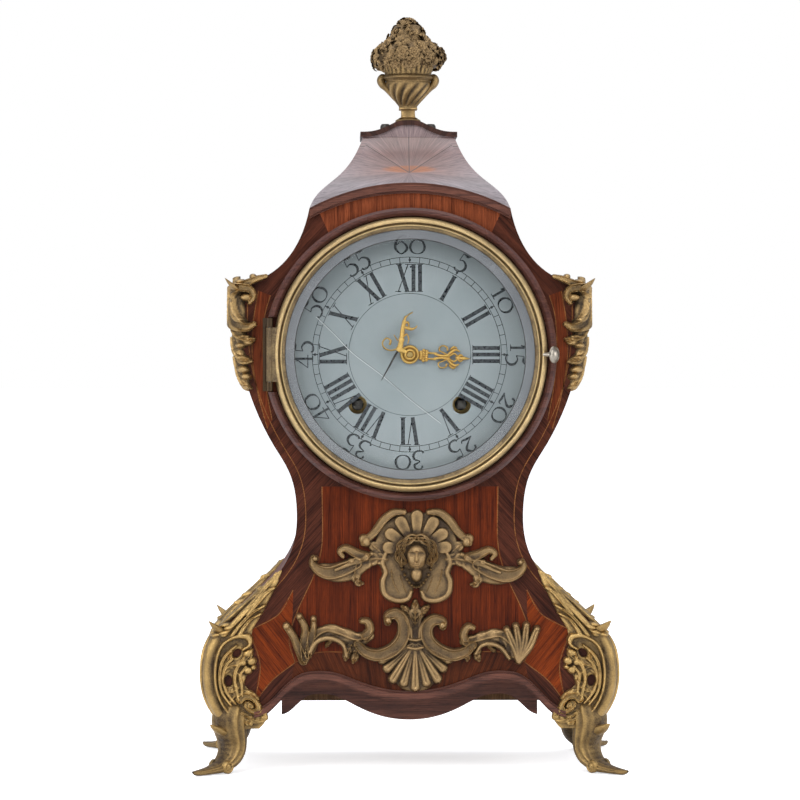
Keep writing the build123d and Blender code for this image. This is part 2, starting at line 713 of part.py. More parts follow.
def fan(middle, radius, first, last, count):
    """A shell of petal lobes that spread from one point."""
    lobes = disc(0, middle, radius / 3)
    half_step = math.radians(abs(last - first)) / (count - 1) / 2
    for index in range(count):
        angle = first + (last - first) * index / (count - 1)
        lobe = Pos(radius / 2, 0) * Ellipse(radius / 2, radius * math.sin(half_step))
        lobes += Pos(0, middle) * Rot(0, 0, angle) * lobe
    return lobes


def make_front_mounts():
    def straps(middle, tables):
        faces = []
        for shares in tables:
            arm = strap(
                [
                    (
                        MOUNT_SPACE * ARM_REACH_SHARE * across,
                        middle + MOUNT_SPACE * ARM_HEIGHT_SHARE * up,
                        MOUNT_SPACE * ARM_WIDTH_SHARE * wide,
                    )
                    for across, up, wide in shares
                ]
            )
            faces += [arm, mirror(arm, about=Plane.YZ)]
        return faces

    halo = fan(MASK_HEIGHT, MOUNT_SPACE * MASK_SHELL_SHARE, 10, 170, MASK_SHELL_LOBES)
    halo = Pos(MOUNT_SHIFT, 0) * (halo + straps(MASK_HEIGHT, MASK_STRAP_SHARES))
    head = Pos(MOUNT_SHIFT, FRONT_Y - CASTING, MASK_HEIGHT) * scale(
        Sphere(1), by=tuple(MOUNT_SPACE * share for share in MASK_HEAD_SHARES)
    )
    add("mask_mount", slab(halo, FRONT_Y - CASTING, FRONT_Y) + head - CASE_BLOCK)

    shell = fan(APRON_MOUNT_HEIGHT, MOUNT_SPACE * APRON_SHELL_SHARE, -145, -35, APRON_SHELL_LOBES)
    shell = Pos(MOUNT_SHIFT, 0) * (shell + straps(APRON_MOUNT_HEIGHT, APRON_STRAP_SHARES))
    moulding = slab(apron_band(0, MOULDING_HEIGHT), FRONT_Y - 2 * CASTING, FRONT_Y)
    add("apron_mount", slab(shell, FRONT_Y - CASTING, FRONT_Y) - moulding)


def make_finial():
    urn_bottom = CAP_TOP + FINIAL_PLATE + FINIAL_STEM
    outline = [(URN_RADIUS * r, urn_bottom + URN_HEIGHT * z) for r, z in URN_SHARES]
    profile = Polyline((0, outline[0][1]), *outline, (0, outline[-1][1]), close=True)
    axis = Axis((0, 0, 0), (0, 0, 1))
    urn = revolve(Plane.XZ * make_face(profile), axis=axis)
    stem = Pos(0, 0, CAP_TOP + FINIAL_PLATE + FINIAL_STEM / 2) * Cylinder(FINIAL_STEM_RADIUS, FINIAL_STEM)
    plate_side = 2 * FINIAL_PLATE_HALF
    plate = Pos(0, 0, CAP_TOP + FINIAL_PLATE / 2) * Box(plate_side, plate_side, FINIAL_PLATE)
    fixing = Pos(0, 0, CAP_TOP - FINIAL_ROD / 2) * Cylinder(FINIAL_ROD_RADIUS - PIVOT_CLEARANCE, FINIAL_ROD)
    add("finial_urn", urn + stem + plate + fixing)


def flower(place, direction, radius):
    """One open flower: a cup with a raised heart, facing outward."""
    points = [(radius * r, FLOWER_DEPTH * z) for r, z in FLOWER_SHARES]
    face = Plane.XZ * make_face(Polyline(*points, close=True))
    bloom = revolve(face, axis=Axis((0, 0, 0), (0, 0, 1)))
    return Plane(origin=place, z_dir=direction) * bloom


def make_flowers():
    rim = CAP_TOP + FINIAL_PLATE + FINIAL_STEM + URN_HEIGHT
    half_height = FLOWER_MASS_HEIGHT / 2
    sizes = (FLOWER_MASS_RADIUS, FLOWER_MASS_RADIUS, half_height)
    heap = Pos(0, 0, rim + half_height) * scale(Sphere(1), by=sizes)
    for tilt, count, turn in ((0, 1, 0), (50, 5, 0), (95, 6, 30)):
        for index in range(count):
            angle = math.radians(turn + 360 * index / count)
            lean = math.radians(tilt)
            direction = (math.sin(lean) * math.cos(angle), math.sin(lean) * math.sin(angle), math.cos(lean))
            place = (
                FLOWER_MASS_RADIUS * direction[0],
                FLOWER_MASS_RADIUS * direction[1],
                rim + half_height + half_height * direction[2],
            )
            heap += flower(place, direction, FLOWER_RADIUS)
    below = Pos(0, 0, rim - URN_HEIGHT) * Box(4 * URN_RADIUS, 4 * URN_RADIUS, 2 * URN_HEIGHT)
    add("finial_flowers", heap - below)


# Dial, surround and bezel

DIAL_AXIS = Axis((0, 0, DIAL_HEIGHT), (0, 1, 0))


def turned(points):
    """A ring about the dial's axis, from points given as radius and distance forward of the case front."""
    face = make_face(Polyline(*[(radius, FRONT_Y - forward) for radius, forward in points], close=True))
    return revolve(Pos(0, 0, DIAL_HEIGHT) * face, axis=DIAL_AXIS)


def at_dial(x, z):
    return x, DIAL_HEIGHT + z


def upright(x, y, radius, middle, length):
    return Pos(x, y, middle) * Cylinder(radius, length)


def make_surround():
    inner = BEZEL_RADIUS + SURROUND_GAP
    outer = SURROUND_OUTER
    third = SURROUND_WIDTH / 3
    ring = turned(
        [
            (inner, 0),
            (inner, SURROUND_DEPTH - third),
            (inner + third, SURROUND_DEPTH),
            (outer - third, SURROUND_DEPTH),
            (outer, SURROUND_DEPTH - third),
            (outer, 0),
        ]
    )
    half = BEZEL_KNUCKLE / 2 + BEZEL_END_KNUCKLE + OVERRUN
    notch = block(
        (-outer - OVERRUN, FRONT_Y - SURROUND_DEPTH - OVERRUN, DIAL_HEIGHT - half),
        (-SIGHT_RADIUS, FRONT_Y + OVERRUN, DIAL_HEIGHT + half),
    )
    add("dial_surround", ring - notch)


def make_bezel():
    rebate = SIGHT_RADIUS + BEZEL_REBATE
    lip_back = BEZEL_DEPTH / 2 + OVERRUN
    crown = (BEZEL_RADIUS + SIGHT_RADIUS) / 2
    fall = BEZEL_RADIUS - crown
    ring = turned(
        [
            (rebate, 0),
            (BEZEL_RADIUS, 0),
            (BEZEL_RADIUS, BEZEL_DEPTH - fall / 2),
            (BEZEL_RADIUS - fall / 3, BEZEL_DEPTH - fall / 6),
            (crown, BEZEL_DEPTH),
            (crown - fall / 2, BEZEL_DEPTH - fall / 6),
            (SIGHT_RADIUS, lip_back + BEZEL_LIP),
            (SIGHT_RADIUS, lip_back),
            (rebate, lip_back),
        ]
    )
    knuckle = upright(HINGE_X, HINGE_Y, BEZEL_HINGE_RADIUS, DIAL_HEIGHT, BEZEL_KNUCKLE)
    half_web = BEZEL_HINGE_RADIUS / 2
    web = block(
        (HINGE_X, HINGE_Y - half_web, DIAL_HEIGHT - BEZEL_KNUCKLE / 2),
        (-crown, HINGE_Y + half_web, DIAL_HEIGHT + BEZEL_KNUCKLE / 2),
    )
    pin_hole = upright(HINGE_X, HINGE_Y, BEZEL_HINGE_PIN + PIVOT_CLEARANCE, DIAL_HEIGHT, 2 * BEZEL_KNUCKLE)
    knob_seat = Plane(
        origin=(crown, FRONT_Y - BEZEL_DEPTH + fall / 2, DIAL_HEIGHT),
        z_dir=(math.cos(math.radians(KNOB_LEAN)), -math.sin(math.radians(KNOB_LEAN)), 0),
    )
    neck = knob_seat * Pos(0, 0, KNOB_NECK) * Cylinder(KNOB_NECK_RADIUS, 2 * KNOB_NECK)
    body = ring + web + knuckle - pin_hole
    add("bezel_ring", body)
    button = Pos(0, 0, 2 * KNOB_NECK + KNOB_THICKNESS / 2) * Cylinder(KNOB_RADIUS, KNOB_THICKNESS)
    button = fillet(button.edges().sort_by(Axis.Z)[-1], KNOB_THICKNESS / 2)
    add("bezel_knob", neck + knob_seat * button - body)

    glass_front = lip_back
    edge = rebate - HINGE_GAP
    add(
        "bezel_glass",
        turned(
            [
                (0, glass_front - GLASS_THICKNESS),
                (edge, glass_front - GLASS_THICKNESS),
                (edge, glass_front - GLASS_THICKNESS + GLASS_EDGE),
                (edge - BEZEL_REBATE, glass_front - GLASS_THICKNESS + GLASS_EDGE),
                (SIGHT_RADIUS - GLASS_BEVEL, glass_front),
                (0, glass_front),
            ]
        ),
    )


def make_bezel_hinge():
    leaf_x = HINGE_X - BEZEL_HINGE_RADIUS - HINGE_GAP
    half = BEZEL_KNUCKLE / 2 + HINGE_GAP
    leaf = block(
        (leaf_x - BEZEL_LEAF, HINGE_Y + BEZEL_HINGE_PIN, DIAL_HEIGHT - half - BEZEL_END_KNUCKLE),
        (leaf_x, FRONT_Y, DIAL_HEIGHT + half + BEZEL_END_KNUCKLE),
    )
    for side in (-1, 1):
        middle = DIAL_HEIGHT + side * (half + BEZEL_END_KNUCKLE / 2)
        leaf += upright(HINGE_X, HINGE_Y, BEZEL_HINGE_RADIUS, middle, BEZEL_END_KNUCKLE)
        leaf += block(
            (leaf_x - BEZEL_LEAF, HINGE_Y, middle - BEZEL_END_KNUCKLE / 2),
            (HINGE_X, HINGE_Y + BEZEL_HINGE_RADIUS, middle + BEZEL_END_KNUCKLE / 2),
        )
    length = 2 * (half + BEZEL_END_KNUCKLE)
    leaf -= upright(HINGE_X, HINGE_Y, BEZEL_HINGE_PIN, DIAL_HEIGHT, length)
    add("bezel_hinge_leaf", leaf)
    return upright(HINGE_X, HINGE_Y, BEZEL_HINGE_PIN, DIAL_HEIGHT, length)


def make_dial():
    rim_y = DIAL_FRONT_Y
    face = make_face(
        [
            ThreePointArc(
                (0, rim_y - DIAL_DOME), (DIAL_RADIUS / 2, rim_y - DIAL_DOME * 3 / 4), (DIAL_RADIUS, rim_y)
            ),
            Line((DIAL_RADIUS, rim_y), (DIAL_RADIUS, rim_y + DIAL_THICKNESS)),
            ThreePointArc(
                (0, rim_y - DIAL_DOME + DIAL_THICKNESS),
                (DIAL_RADIUS / 2, rim_y - DIAL_DOME * 3 / 4 + DIAL_THICKNESS),
                (DIAL_RADIUS, rim_y + DIAL_THICKNESS),
            ),
            Line((0, rim_y - DIAL_DOME), (0, rim_y - DIAL_DOME + DIAL_THICKNESS)),
        ]
    )
    enamel = revolve(Pos(0, 0, DIAL_HEIGHT) * face, axis=DIAL_AXIS)
    deep = (rim_y - 2 * DIAL_DOME, rim_y + 2 * DIAL_DOME)
    holes = [(side * BARREL_X, -BARREL_DROP, WINDING_HOLE_RADIUS) for side in (-1, 1)]
    for x, z, radius in holes + [(0, 0, HAND_HOLE_RADIUS)]:
        enamel -= rod(*at_dial(x, z), radius, *deep)
    for x, z in DIAL_FOOT_PLACES:
        foot_end = PLATE_INNER_Y + DIAL_FOOT_RADIUS
        enamel += rod(*at_dial(x, z), DIAL_FOOT_RADIUS, rim_y - DIAL_DOME / 2, foot_end)
    add("dial", enamel)


DIAL_FOOT_PLACES = [
    (DIAL_FOOT_CIRCLE * math.cos(math.radians(angle)), DIAL_FOOT_CIRCLE * math.sin(math.radians(angle)))
    for angle in (60, 180, 300)
]


# Back door

def make_back_door():
    door = slab(bar(DOOR_HALF, DOOR_BOTTOM, DOOR_TOP), INNER_BACK_Y, BACK_Y)
    add("back_door", door)
    knob_z = (DOOR_BOTTOM + DOOR_TOP) / 2
    knob_x = -DOOR_HALF + 2 * DOOR_KNOB_RADIUS
    shank = rod(knob_x, knob_z, DOOR_KNOB_RADIUS / 2, BACK_Y, BACK_Y + DOOR_KNOB_RADIUS)
    ball = Pos(knob_x, BACK_Y + DOOR_KNOB_RADIUS * 3 / 2, knob_z) * Sphere(DOOR_KNOB_RADIUS)
    add("back_door_knob", shank + ball)

    fixed, moving, pins = [], [], []
    knuckle = DOOR_LEAF_HEIGHT / 3
    for z in (DOOR_BOTTOM + DOOR_HINGE_INSET, DOOR_TOP - DOOR_HINGE_INSET):
        bore_radius = DOOR_HINGE_PIN + PIVOT_CLEARANCE
        bore = upright(DOOR_HINGE_X, DOOR_HINGE_Y, bore_radius, z, 2 * DOOR_LEAF_HEIGHT)
        tight = upright(DOOR_HINGE_X, DOOR_HINGE_Y, DOOR_HINGE_PIN, z, 2 * DOOR_LEAF_HEIGHT)
        low, high = z - DOOR_LEAF_HEIGHT / 2, z + DOOR_LEAF_HEIGHT / 2
        middle = upright(DOOR_HINGE_X, DOOR_HINGE_Y, DOOR_HINGE_RADIUS, z, knuckle - 2 * HINGE_GAP)
        reach = DOOR_HINGE_RADIUS + HINGE_GAP
        cut_moving = block(
            (DOOR_HINGE_X - reach, BACK_Y - OVERRUN, low - OVERRUN),
            (DOOR_HINGE_X + reach, DOOR_HINGE_Y + reach, high + OVERRUN),
        )
        cut_fixed = block(
            (DOOR_HINGE_X - reach, BACK_Y - OVERRUN, z - knuckle / 2),
            (DOOR_HINGE_X + reach, DOOR_HINGE_Y + reach, z + knuckle / 2),
        )
        moving_leaf = block(
            (DOOR_HINGE_X - DOOR_LEAF_WIDTH, BACK_Y, low),
            (DOOR_HINGE_X - reach, BACK_Y + DOOR_LEAF, high),
        )
        moving_arm = block(
            (DOOR_HINGE_X - reach, BACK_Y + HINGE_GAP, z - knuckle / 2 + HINGE_GAP),
            (DOOR_HINGE_X, BACK_Y + DOOR_LEAF, z + knuckle / 2 - HINGE_GAP),
        )
        moving.append(moving_leaf - cut_moving + moving_arm + middle - bore)
        fixed_leaf = block(
            (DOOR_HINGE_X, BACK_Y, low),
            (DOOR_HINGE_X + DOOR_LEAF_WIDTH, BACK_Y + DOOR_LEAF, high),
        )
        barrel = upright(DOOR_HINGE_X, DOOR_HINGE_Y, DOOR_HINGE_RADIUS, z, DOOR_LEAF_HEIGHT)
        fixed.append(fixed_leaf + barrel - cut_fixed - tight)
        pins.append(upright(DOOR_HINGE_X, DOOR_HINGE_Y, DOOR_HINGE_PIN, z, DOOR_LEAF_HEIGHT))
    add("back_hinge_leaves", *fixed)
    add("back_door_leaves", *moving)
    return pins


# Movement

def gear_face(teeth, radius, tooth_angle):
    """Flat-flanked teeth, narrower than their gaps, with one tooth centred on tooth_angle (degrees)."""
    module = 2 * radius / teeth
    tip = radius + ADDENDUM_SHARE * module
    root = radius - DEDENDUM_SHARE * module
    step = 2 * math.pi / teeth
    points = []
    for index in range(teeth):
        middle = math.radians(tooth_angle) + index * step
        for reach, share in (
            (root, -TOOTH_FOOT_SHARE),
            (tip, -TOOTH_TIP_SHARE),
            (tip, TOOTH_TIP_SHARE),
            (root, TOOTH_FOOT_SHARE),
        ):
            angle = middle + share * step
            points.append((reach * math.cos(angle), reach * math.sin(angle)))
    return make_face(Polyline(*points, close=True))


def crossed(face, radius):
    """A wheel with four windows between its rim and hub."""
    window = Circle(radius * RIM_SHARE) - Circle(radius * HUB_SHARE)
    arms = Rectangle(radius * CROSSING_SHARE, 2 * radius) + Rectangle(2 * radius, radius * CROSSING_SHARE)
    return face - (window - arms)


def angle_to(start, end):
    return math.degrees(math.atan2(end[1] - start[1], end[0] - start[0]))


def mesh_radii(start, end, teeth, leaves):
    """Pitch radii of a wheel and its pinion, from the distance between their arbors."""
    distance = math.dist(start, end)
    return distance * teeth / (teeth + leaves), distance * leaves / (teeth + leaves)


def wheel(place, teeth, radius, towards, back_y, thickness):
    """A crossed wheel with a tooth on the line towards its mate."""
    face = crossed(gear_face(teeth, radius, angle_to(place, towards)), radius)
    return slab(Pos(*at_dial(*place)) * face, back_y - thickness, back_y)


def pinion(place, leaves, radius, wheel_place, back_y, length):
    """A pinion with a gap on the line towards its wheel."""
    tooth_angle = angle_to(place, wheel_place) + 180 / leaves
    return slab(Pos(*at_dial(*place)) * gear_face(leaves, radius, tooth_angle), back_y - length, back_y)


def arbor(place, radius):
    return rod(*at_dial(*place), radius, PLATE_FRONT_Y, MOVEMENT_BACK_Y)


CENTRE = (0, 0)
GOING = (BARREL_X, -BARREL_DROP)
STRIKE = (-BARREL_X, -BARREL_DROP)
SECOND = (SECOND_X, -SECOND_DROP)
PIN = (-SECOND_X, -SECOND_DROP)
THIRD = (0, THIRD_RISE)
ESCAPE = (0, ESCAPE_RISE)
PALLET = (0, PALLET_RISE)
STRIKE_THIRD = (-STRIKE_THIRD_X, STRIKE_THIRD_RISE)
FLY = (-FLY_X, FLY_RISE)
MOTION = (0, -MOTION_DROP)
HAMMER = (HAMMER_X, HAMMER_RISE)

# Depths of the wheels, counted back from the front plate
CENTRE_Y = PLATE_INNER_Y + LEVEL + WHEEL_THICKNESS
SECOND_Y = CENTRE_Y + LEVEL
GREAT_Y = SECOND_Y + LEVEL
THIRD_Y = GREAT_Y + LEVEL + WHEEL_THICKNESS
ESCAPE_Y = THIRD_Y + LEVEL + WHEEL_THICKNESS
MOTION_Y = PLATE_FRONT_Y - WHEEL_THICKNESS
HOUR_Y = MOTION_Y - WHEEL_THICKNESS - PIVOT_CLEARANCE * 5


def make_plates():
    corners = [
        (side * (PLATE_HALF - PILLAR_INSET), z)
        for side in (-1, 1)
        for z in (PLATE_TOP - PILLAR_INSET, PILLAR_INSET - PLATE_BOTTOM)
    ]
    pivots = [(place, ARBOR_RADIUS) for place in (SECOND, PIN, HAMMER)]
    pivots += [(place, FINE_ARBOR_RADIUS) for place in (THIRD, ESCAPE, STRIKE_THIRD, FLY)]
    pivots += [(CENTRE, CENTRE_ARBOR_RADIUS), (PALLET, ARBOR_RADIUS)]
    pivots += [(GOING, WINDING_RADIUS), (STRIKE, WINDING_RADIUS)]
    plate = bar(PLATE_HALF, DIAL_HEIGHT - PLATE_BOTTOM, DIAL_HEIGHT + PLATE_TOP)
    for place, radius in pivots:
        plate -= disc(*at_dial(*place), radius + PIVOT_CLEARANCE)
    front_face = plate
    for place in DIAL_FOOT_PLACES:
        front_face -= disc(*at_dial(*place), DIAL_FOOT_RADIUS + PIVOT_CLEARANCE)
    stud = rod(*at_dial(*MOTION), ARBOR_RADIUS, HOUR_Y - PINION_LENGTH, PLATE_FRONT_Y)
    add("front_plate", slab(front_face, PLATE_FRONT_Y, PLATE_INNER_Y) + stud)
    add("back_plate", slab(plate, BACK_PLATE_Y, MOVEMENT_BACK_Y))

    seat_back = MOVEMENT_BACK_Y + SEAT_LEDGE
    seat_bottom = SEAT_TOP - SEAT_THICKNESS
    seat = block((-SEAT_HALF, INNER_FRONT_Y, seat_bottom), (SEAT_HALF, seat_back, SEAT_TOP))
    rail_face = INSIDE & bar(SHOULDER_HALF, seat_bottom - SEAT_RAIL, seat_bottom)
    rail_face -= bar(SEAT_HALF - SEAT_RAIL, seat_bottom - 2 * SEAT_RAIL, SEAT_TOP)
    rails = slab(rail_face, INNER_FRONT_Y, seat_back)
    pillars = [rod(*at_dial(*place), PILLAR_RADIUS, PLATE_INNER_Y, BACK_PLATE_Y) for place in corners]
    middle_y = (PLATE_INNER_Y + BACK_PLATE_Y) / 2
    length = SEAT_THICKNESS + PILLAR_INSET
    screws = []
    for x in (PILLAR_INSET - PLATE_HALF, PLATE_HALF - PILLAR_INSET):
        shank = upright(x, middle_y, SEAT_SCREW_RADIUS, seat_bottom + length / 2, length)
        head = upright(x, middle_y, SEAT_SCREW_HEAD, seat_bottom - SEAT_SCREW_RADIUS / 2, SEAT_SCREW_RADIUS)
        seat -= shank
        pillars = [pillar - shank for pillar in pillars]
        rails -= upright(x, middle_y, SEAT_SCREW_HEAD + DIAL_GAP, seat_bottom, 4 * SEAT_RAIL)
        screws.append(shank + head)
    add("plate_pillars", *pillars)
    add("seat_board", seat)
    add("seat_screws", *screws)
    add("seat_rails", rails)


def make_barrel(name, arbor_name, place, pinion_place):
    radius, _ = mesh_radii(place, pinion_place, GREAT_TEETH, LEAVES)
    face = gear_face(GREAT_TEETH, radius, angle_to(place, pinion_place))
    great = slab(Pos(*at_dial(*place)) * face, GREAT_Y - GREAT_THICKNESS, GREAT_Y)
    drum = rod(*at_dial(*place), BARREL_RADIUS, GREAT_Y, GREAT_Y + BARREL_LENGTH)
    bore = rod(
        *at_dial(*place),
        WINDING_RADIUS + PIVOT_CLEARANCE,
        GREAT_Y - 2 * GREAT_THICKNESS,
        GREAT_Y + 2 * BARREL_LENGTH,
    )
    add(name, great + drum - bore)
    shaft = rod(*at_dial(*place), WINDING_RADIUS, PLATE_FRONT_Y - LEVEL / 2, MOVEMENT_BACK_Y)
    square = slab(
        Pos(*at_dial(*place)) * Rectangle(WINDING_SQUARE, WINDING_SQUARE),
        DIAL_FRONT_Y + DIAL_THICKNESS,
        PLATE_FRONT_Y - LEVEL / 2,
    )
    add(arbor_name, shaft + square)


def make_going_train():
    make_barrel("going_barrel", "going_winding_arbor", GOING, SECOND)
    _, second_leaf = mesh_radii(GOING, SECOND, GREAT_TEETH, LEAVES)
    second_radius, centre_leaf = mesh_radii(SECOND, CENTRE, SECOND_TEETH, LEAVES)
    centre_radius, third_leaf = mesh_radii(CENTRE, THIRD, CENTRE_TEETH, LEAVES)
    third_radius, escape_leaf = mesh_radii(THIRD, ESCAPE, THIRD_TEETH, LEAVES)
    lead = (PINION_LENGTH - WHEEL_THICKNESS) / 2
    add(
        "intermediate_wheel",
        wheel(SECOND, SECOND_TEETH, second_radius, CENTRE, SECOND_Y, WHEEL_THICKNESS)
        + pinion(SECOND, LEAVES, second_leaf, GOING, GREAT_Y + lead, PINION_LENGTH)
        + arbor(SECOND, ARBOR_RADIUS),
    )
    tip_y = MINUTE_Y - HAND_THICKNESS - HAND_THICKNESS
    add(
        "centre_wheel",
        wheel(CENTRE, CENTRE_TEETH, centre_radius, THIRD, CENTRE_Y, WHEEL_THICKNESS)
        + pinion(CENTRE, LEAVES, centre_leaf, SECOND, SECOND_Y + lead, PINION_LENGTH)
        + rod(*at_dial(*CENTRE), CENTRE_ARBOR_RADIUS, tip_y, MOVEMENT_BACK_Y),
    )
    add(
        "third_wheel",
        wheel(THIRD, THIRD_TEETH, third_radius, ESCAPE, THIRD_Y, WHEEL_THICKNESS)
        + pinion(THIRD, LEAVES, third_leaf, CENTRE, CENTRE_Y + lead, PINION_LENGTH)
        + arbor(THIRD, FINE_ARBOR_RADIUS),
    )
    points = []
    root = ESCAPE_RADIUS - ESCAPE_DEPTH
    step = 2 * math.pi / ESCAPE_TEETH
    for index in range(ESCAPE_TEETH):
        for depth_share, share in ESCAPE_TOOTH_SHARES:
            reach = root + ESCAPE_DEPTH * depth_share
            angle = (index + share) * step
            points.append((reach * math.cos(angle), reach * math.sin(angle)))
    face = crossed(make_face(Polyline(*points, close=True)), root)
    add(
        "escape_wheel",
        slab(Pos(*at_dial(*ESCAPE)) * face, ESCAPE_Y - WHEEL_THICKNESS / 2, ESCAPE_Y)
        + pinion(ESCAPE, LEAVES, escape_leaf, THIRD, THIRD_Y + lead, PINION_LENGTH)
        + arbor(ESCAPE, FINE_ARBOR_RADIUS),
    )


def make_strike_train():
    make_barrel("strike_barrel", "strike_winding_arbor", STRIKE, PIN)
    _, pin_leaf = mesh_radii(STRIKE, PIN, GREAT_TEETH, LEAVES)
    pin_radius, third_leaf = mesh_radii(PIN, STRIKE_THIRD, PIN_WHEEL_TEETH, LEAVES)
    third_radius, fly_leaf = mesh_radii(STRIKE_THIRD, FLY, STRIKE_THIRD_TEETH, LEAVES)
    lead = (PINION_LENGTH - WHEEL_THICKNESS) / 2
    pins = [
        rod(
            *at_dial(
                PIN[0] + PIN_CIRCLE * math.cos(2 * math.pi * index / PIN_COUNT),
                PIN[1] + PIN_CIRCLE * math.sin(2 * math.pi * index / PIN_COUNT),
            ),
            PIN_RADIUS,
            SECOND_Y - WHEEL_THICKNESS - PIN_LENGTH,
            SECOND_Y - WHEEL_THICKNESS / 2,
        )
        for index in range(PIN_COUNT)
    ]
    pin_face = gear_face(PIN_WHEEL_TEETH, pin_radius, angle_to(PIN, STRIKE_THIRD))
    pin_disc = slab(Pos(*at_dial(*PIN)) * pin_face, SECOND_Y - WHEEL_THICKNESS, SECOND_Y)
    pin_leaves = pinion(PIN, LEAVES, pin_leaf, STRIKE, GREAT_Y + lead, PINION_LENGTH)
    add("pin_wheel", pin_disc + pin_leaves + arbor(PIN, ARBOR_RADIUS) + pins)
    add(
        "strike_third_wheel",
        wheel(STRIKE_THIRD, STRIKE_THIRD_TEETH, third_radius, FLY, THIRD_Y, WHEEL_THICKNESS)
        + pinion(STRIKE_THIRD, LEAVES, third_leaf, PIN, SECOND_Y + lead, PINION_LENGTH)
        + arbor(STRIKE_THIRD, FINE_ARBOR_RADIUS),
    )
    vane = slab(
        Pos(*at_dial(*FLY)) * Rectangle(2 * FLY_HALF, FLY_THICKNESS),
        THIRD_Y + lead + WHEEL_THICKNESS,
        THIRD_Y + lead + WHEEL_THICKNESS + FLY_LENGTH,
    )
    add(
        "fly",
        vane
        + pinion(FLY, LEAVES, fly_leaf, STRIKE_THIRD, THIRD_Y + lead, PINION_LENGTH)
        + arbor(FLY, FINE_ARBOR_RADIUS),
    )


HOUR_HAND_Y = DIAL_FRONT_Y - DIAL_DOME - HAND_GAP
MINUTE_Y = HOUR_HAND_Y - HAND_THICKNESS - HAND_GAP


def make_motion_work():
    minute_radius, cannon_radius = mesh_radii(CENTRE, MOTION, MINUTE_TEETH, CANNON_TEETH)
    hour_radius, leaf_radius = mesh_radii(CENTRE, MOTION, HOUR_TEETH, MINUTE_LEAVES)
    grip = CENTRE_ARBOR_RADIUS + PIVOT_CLEARANCE
    cannon_bore = rod(*at_dial(*CENTRE), grip, MINUTE_Y - LEVEL, PLATE_FRONT_Y)
    cannon = pinion(CENTRE, CANNON_TEETH, cannon_radius, MOTION, MOTION_Y, WHEEL_THICKNESS)
    cannon += rod(*at_dial(*CENTRE), CANNON_RADIUS, MINUTE_Y, MOTION_Y)
    add("cannon_pinion", cannon - cannon_bore)

    bore = rod(*at_dial(*MOTION), ARBOR_RADIUS + PIVOT_CLEARANCE, HOUR_Y - 2 * PINION_LENGTH, PLATE_FRONT_Y)
    minute = wheel(MOTION, MINUTE_TEETH, minute_radius, CENTRE, MOTION_Y, WHEEL_THICKNESS)
    minute += pinion(MOTION, MINUTE_LEAVES, leaf_radius, CENTRE, MOTION_Y - WHEEL_THICKNESS, PINION_LENGTH)
    add("minute_wheel", minute - bore)

    pipe_bore = CANNON_RADIUS + PIVOT_CLEARANCE
    pipe = pipe_bore + HOUR_PIPE_WALL
    hour = wheel(CENTRE, HOUR_TEETH, hour_radius, MOTION, HOUR_Y, WHEEL_THICKNESS)
    hour += rod(*at_dial(*CENTRE), pipe, HOUR_HAND_Y - HAND_THICKNESS, HOUR_Y)
    add("hour_wheel", hour - rod(*at_dial(*CENTRE), pipe_bore, MINUTE_Y - LEVEL, PLATE_FRONT_Y))
    return pipe


def shape_face(size, shares):
    """A flat outline through shares of one size."""
    return make_face(Polyline(*[(size * x, size * y) for x, y in shares], close=True))


def ellipse_at(size, x, y, half_length, half_width, turn):
    return Pos(size * x, size * y) * Rot(0, 0, turn) * Ellipse(size * half_length, size * half_width)


def make_hands(pipe):
    hand = Circle(HAND_BOSS_RADIUS + HOUR_PIPE_WALL)
    hand += [shape_face(HOUR_LENGTH, shares) for shares in (HOUR_STEM_SHARES, HOUR_TIP_SHARES)]
    hand += ellipse_at(HOUR_LENGTH, *HOUR_BLADE_SHARES, 0)
    for side in (-1, 1):
        loops = ((HOUR_LOOP_SHARES, HOUR_LOOP_TURN), (HOUR_PETAL_SHARES, HOUR_PETAL_TURN))
        for (x, y, long, wide), turn in loops:
            hand += ellipse_at(HOUR_LENGTH, x, side * y, long, wide, side * turn)
        x, y, long, wide = HOUR_LOOP_HOLE_SHARES
        hand -= ellipse_at(HOUR_LENGTH, x, side * y, long, wide, side * HOUR_LOOP_TURN)
    hand = Pos(*at_dial(*CENTRE)) * Rot(0, 0, HOUR_ANGLE) * (hand - Circle(pipe))
    add("hour_hand", slab(hand, HOUR_HAND_Y - HAND_THICKNESS, HOUR_HAND_Y))

    minute = Circle(HAND_BOSS_RADIUS) + shape_face(MINUTE_REACH, MINUTE_BLADE_SHARES)
    minute += Rot(0, 0, MINUTE_TAIL_TURN) * Pos(MINUTE_TAIL / 2, 0) * Rectangle(MINUTE_TAIL, MINUTE_WIDTH)
    x, y, radius = MINUTE_BOSS_SHARES
    minute += Pos(MINUTE_REACH * x, MINUTE_REACH * y) * Circle(MINUTE_REACH * radius)
    for x, y, outer, inner in MINUTE_CURL_SHARES:
        curl = Circle(MINUTE_REACH * outer) - Circle(MINUTE_REACH * inner)
        minute += Pos(MINUTE_REACH * x, MINUTE_REACH * y) * curl
    hole = Circle(CENTRE_ARBOR_RADIUS + PIVOT_CLEARANCE)
    minute = Pos(*at_dial(*CENTRE)) * (minute - hole)
    collet = Pos(*at_dial(*CENTRE)) * (Circle(COLLET_RADIUS) - hole)
    front = MINUTE_Y - HAND_THICKNESS
    add("minute_hand", slab(minute, front, MINUTE_Y) + slab(collet, front - HAND_THICKNESS, front))


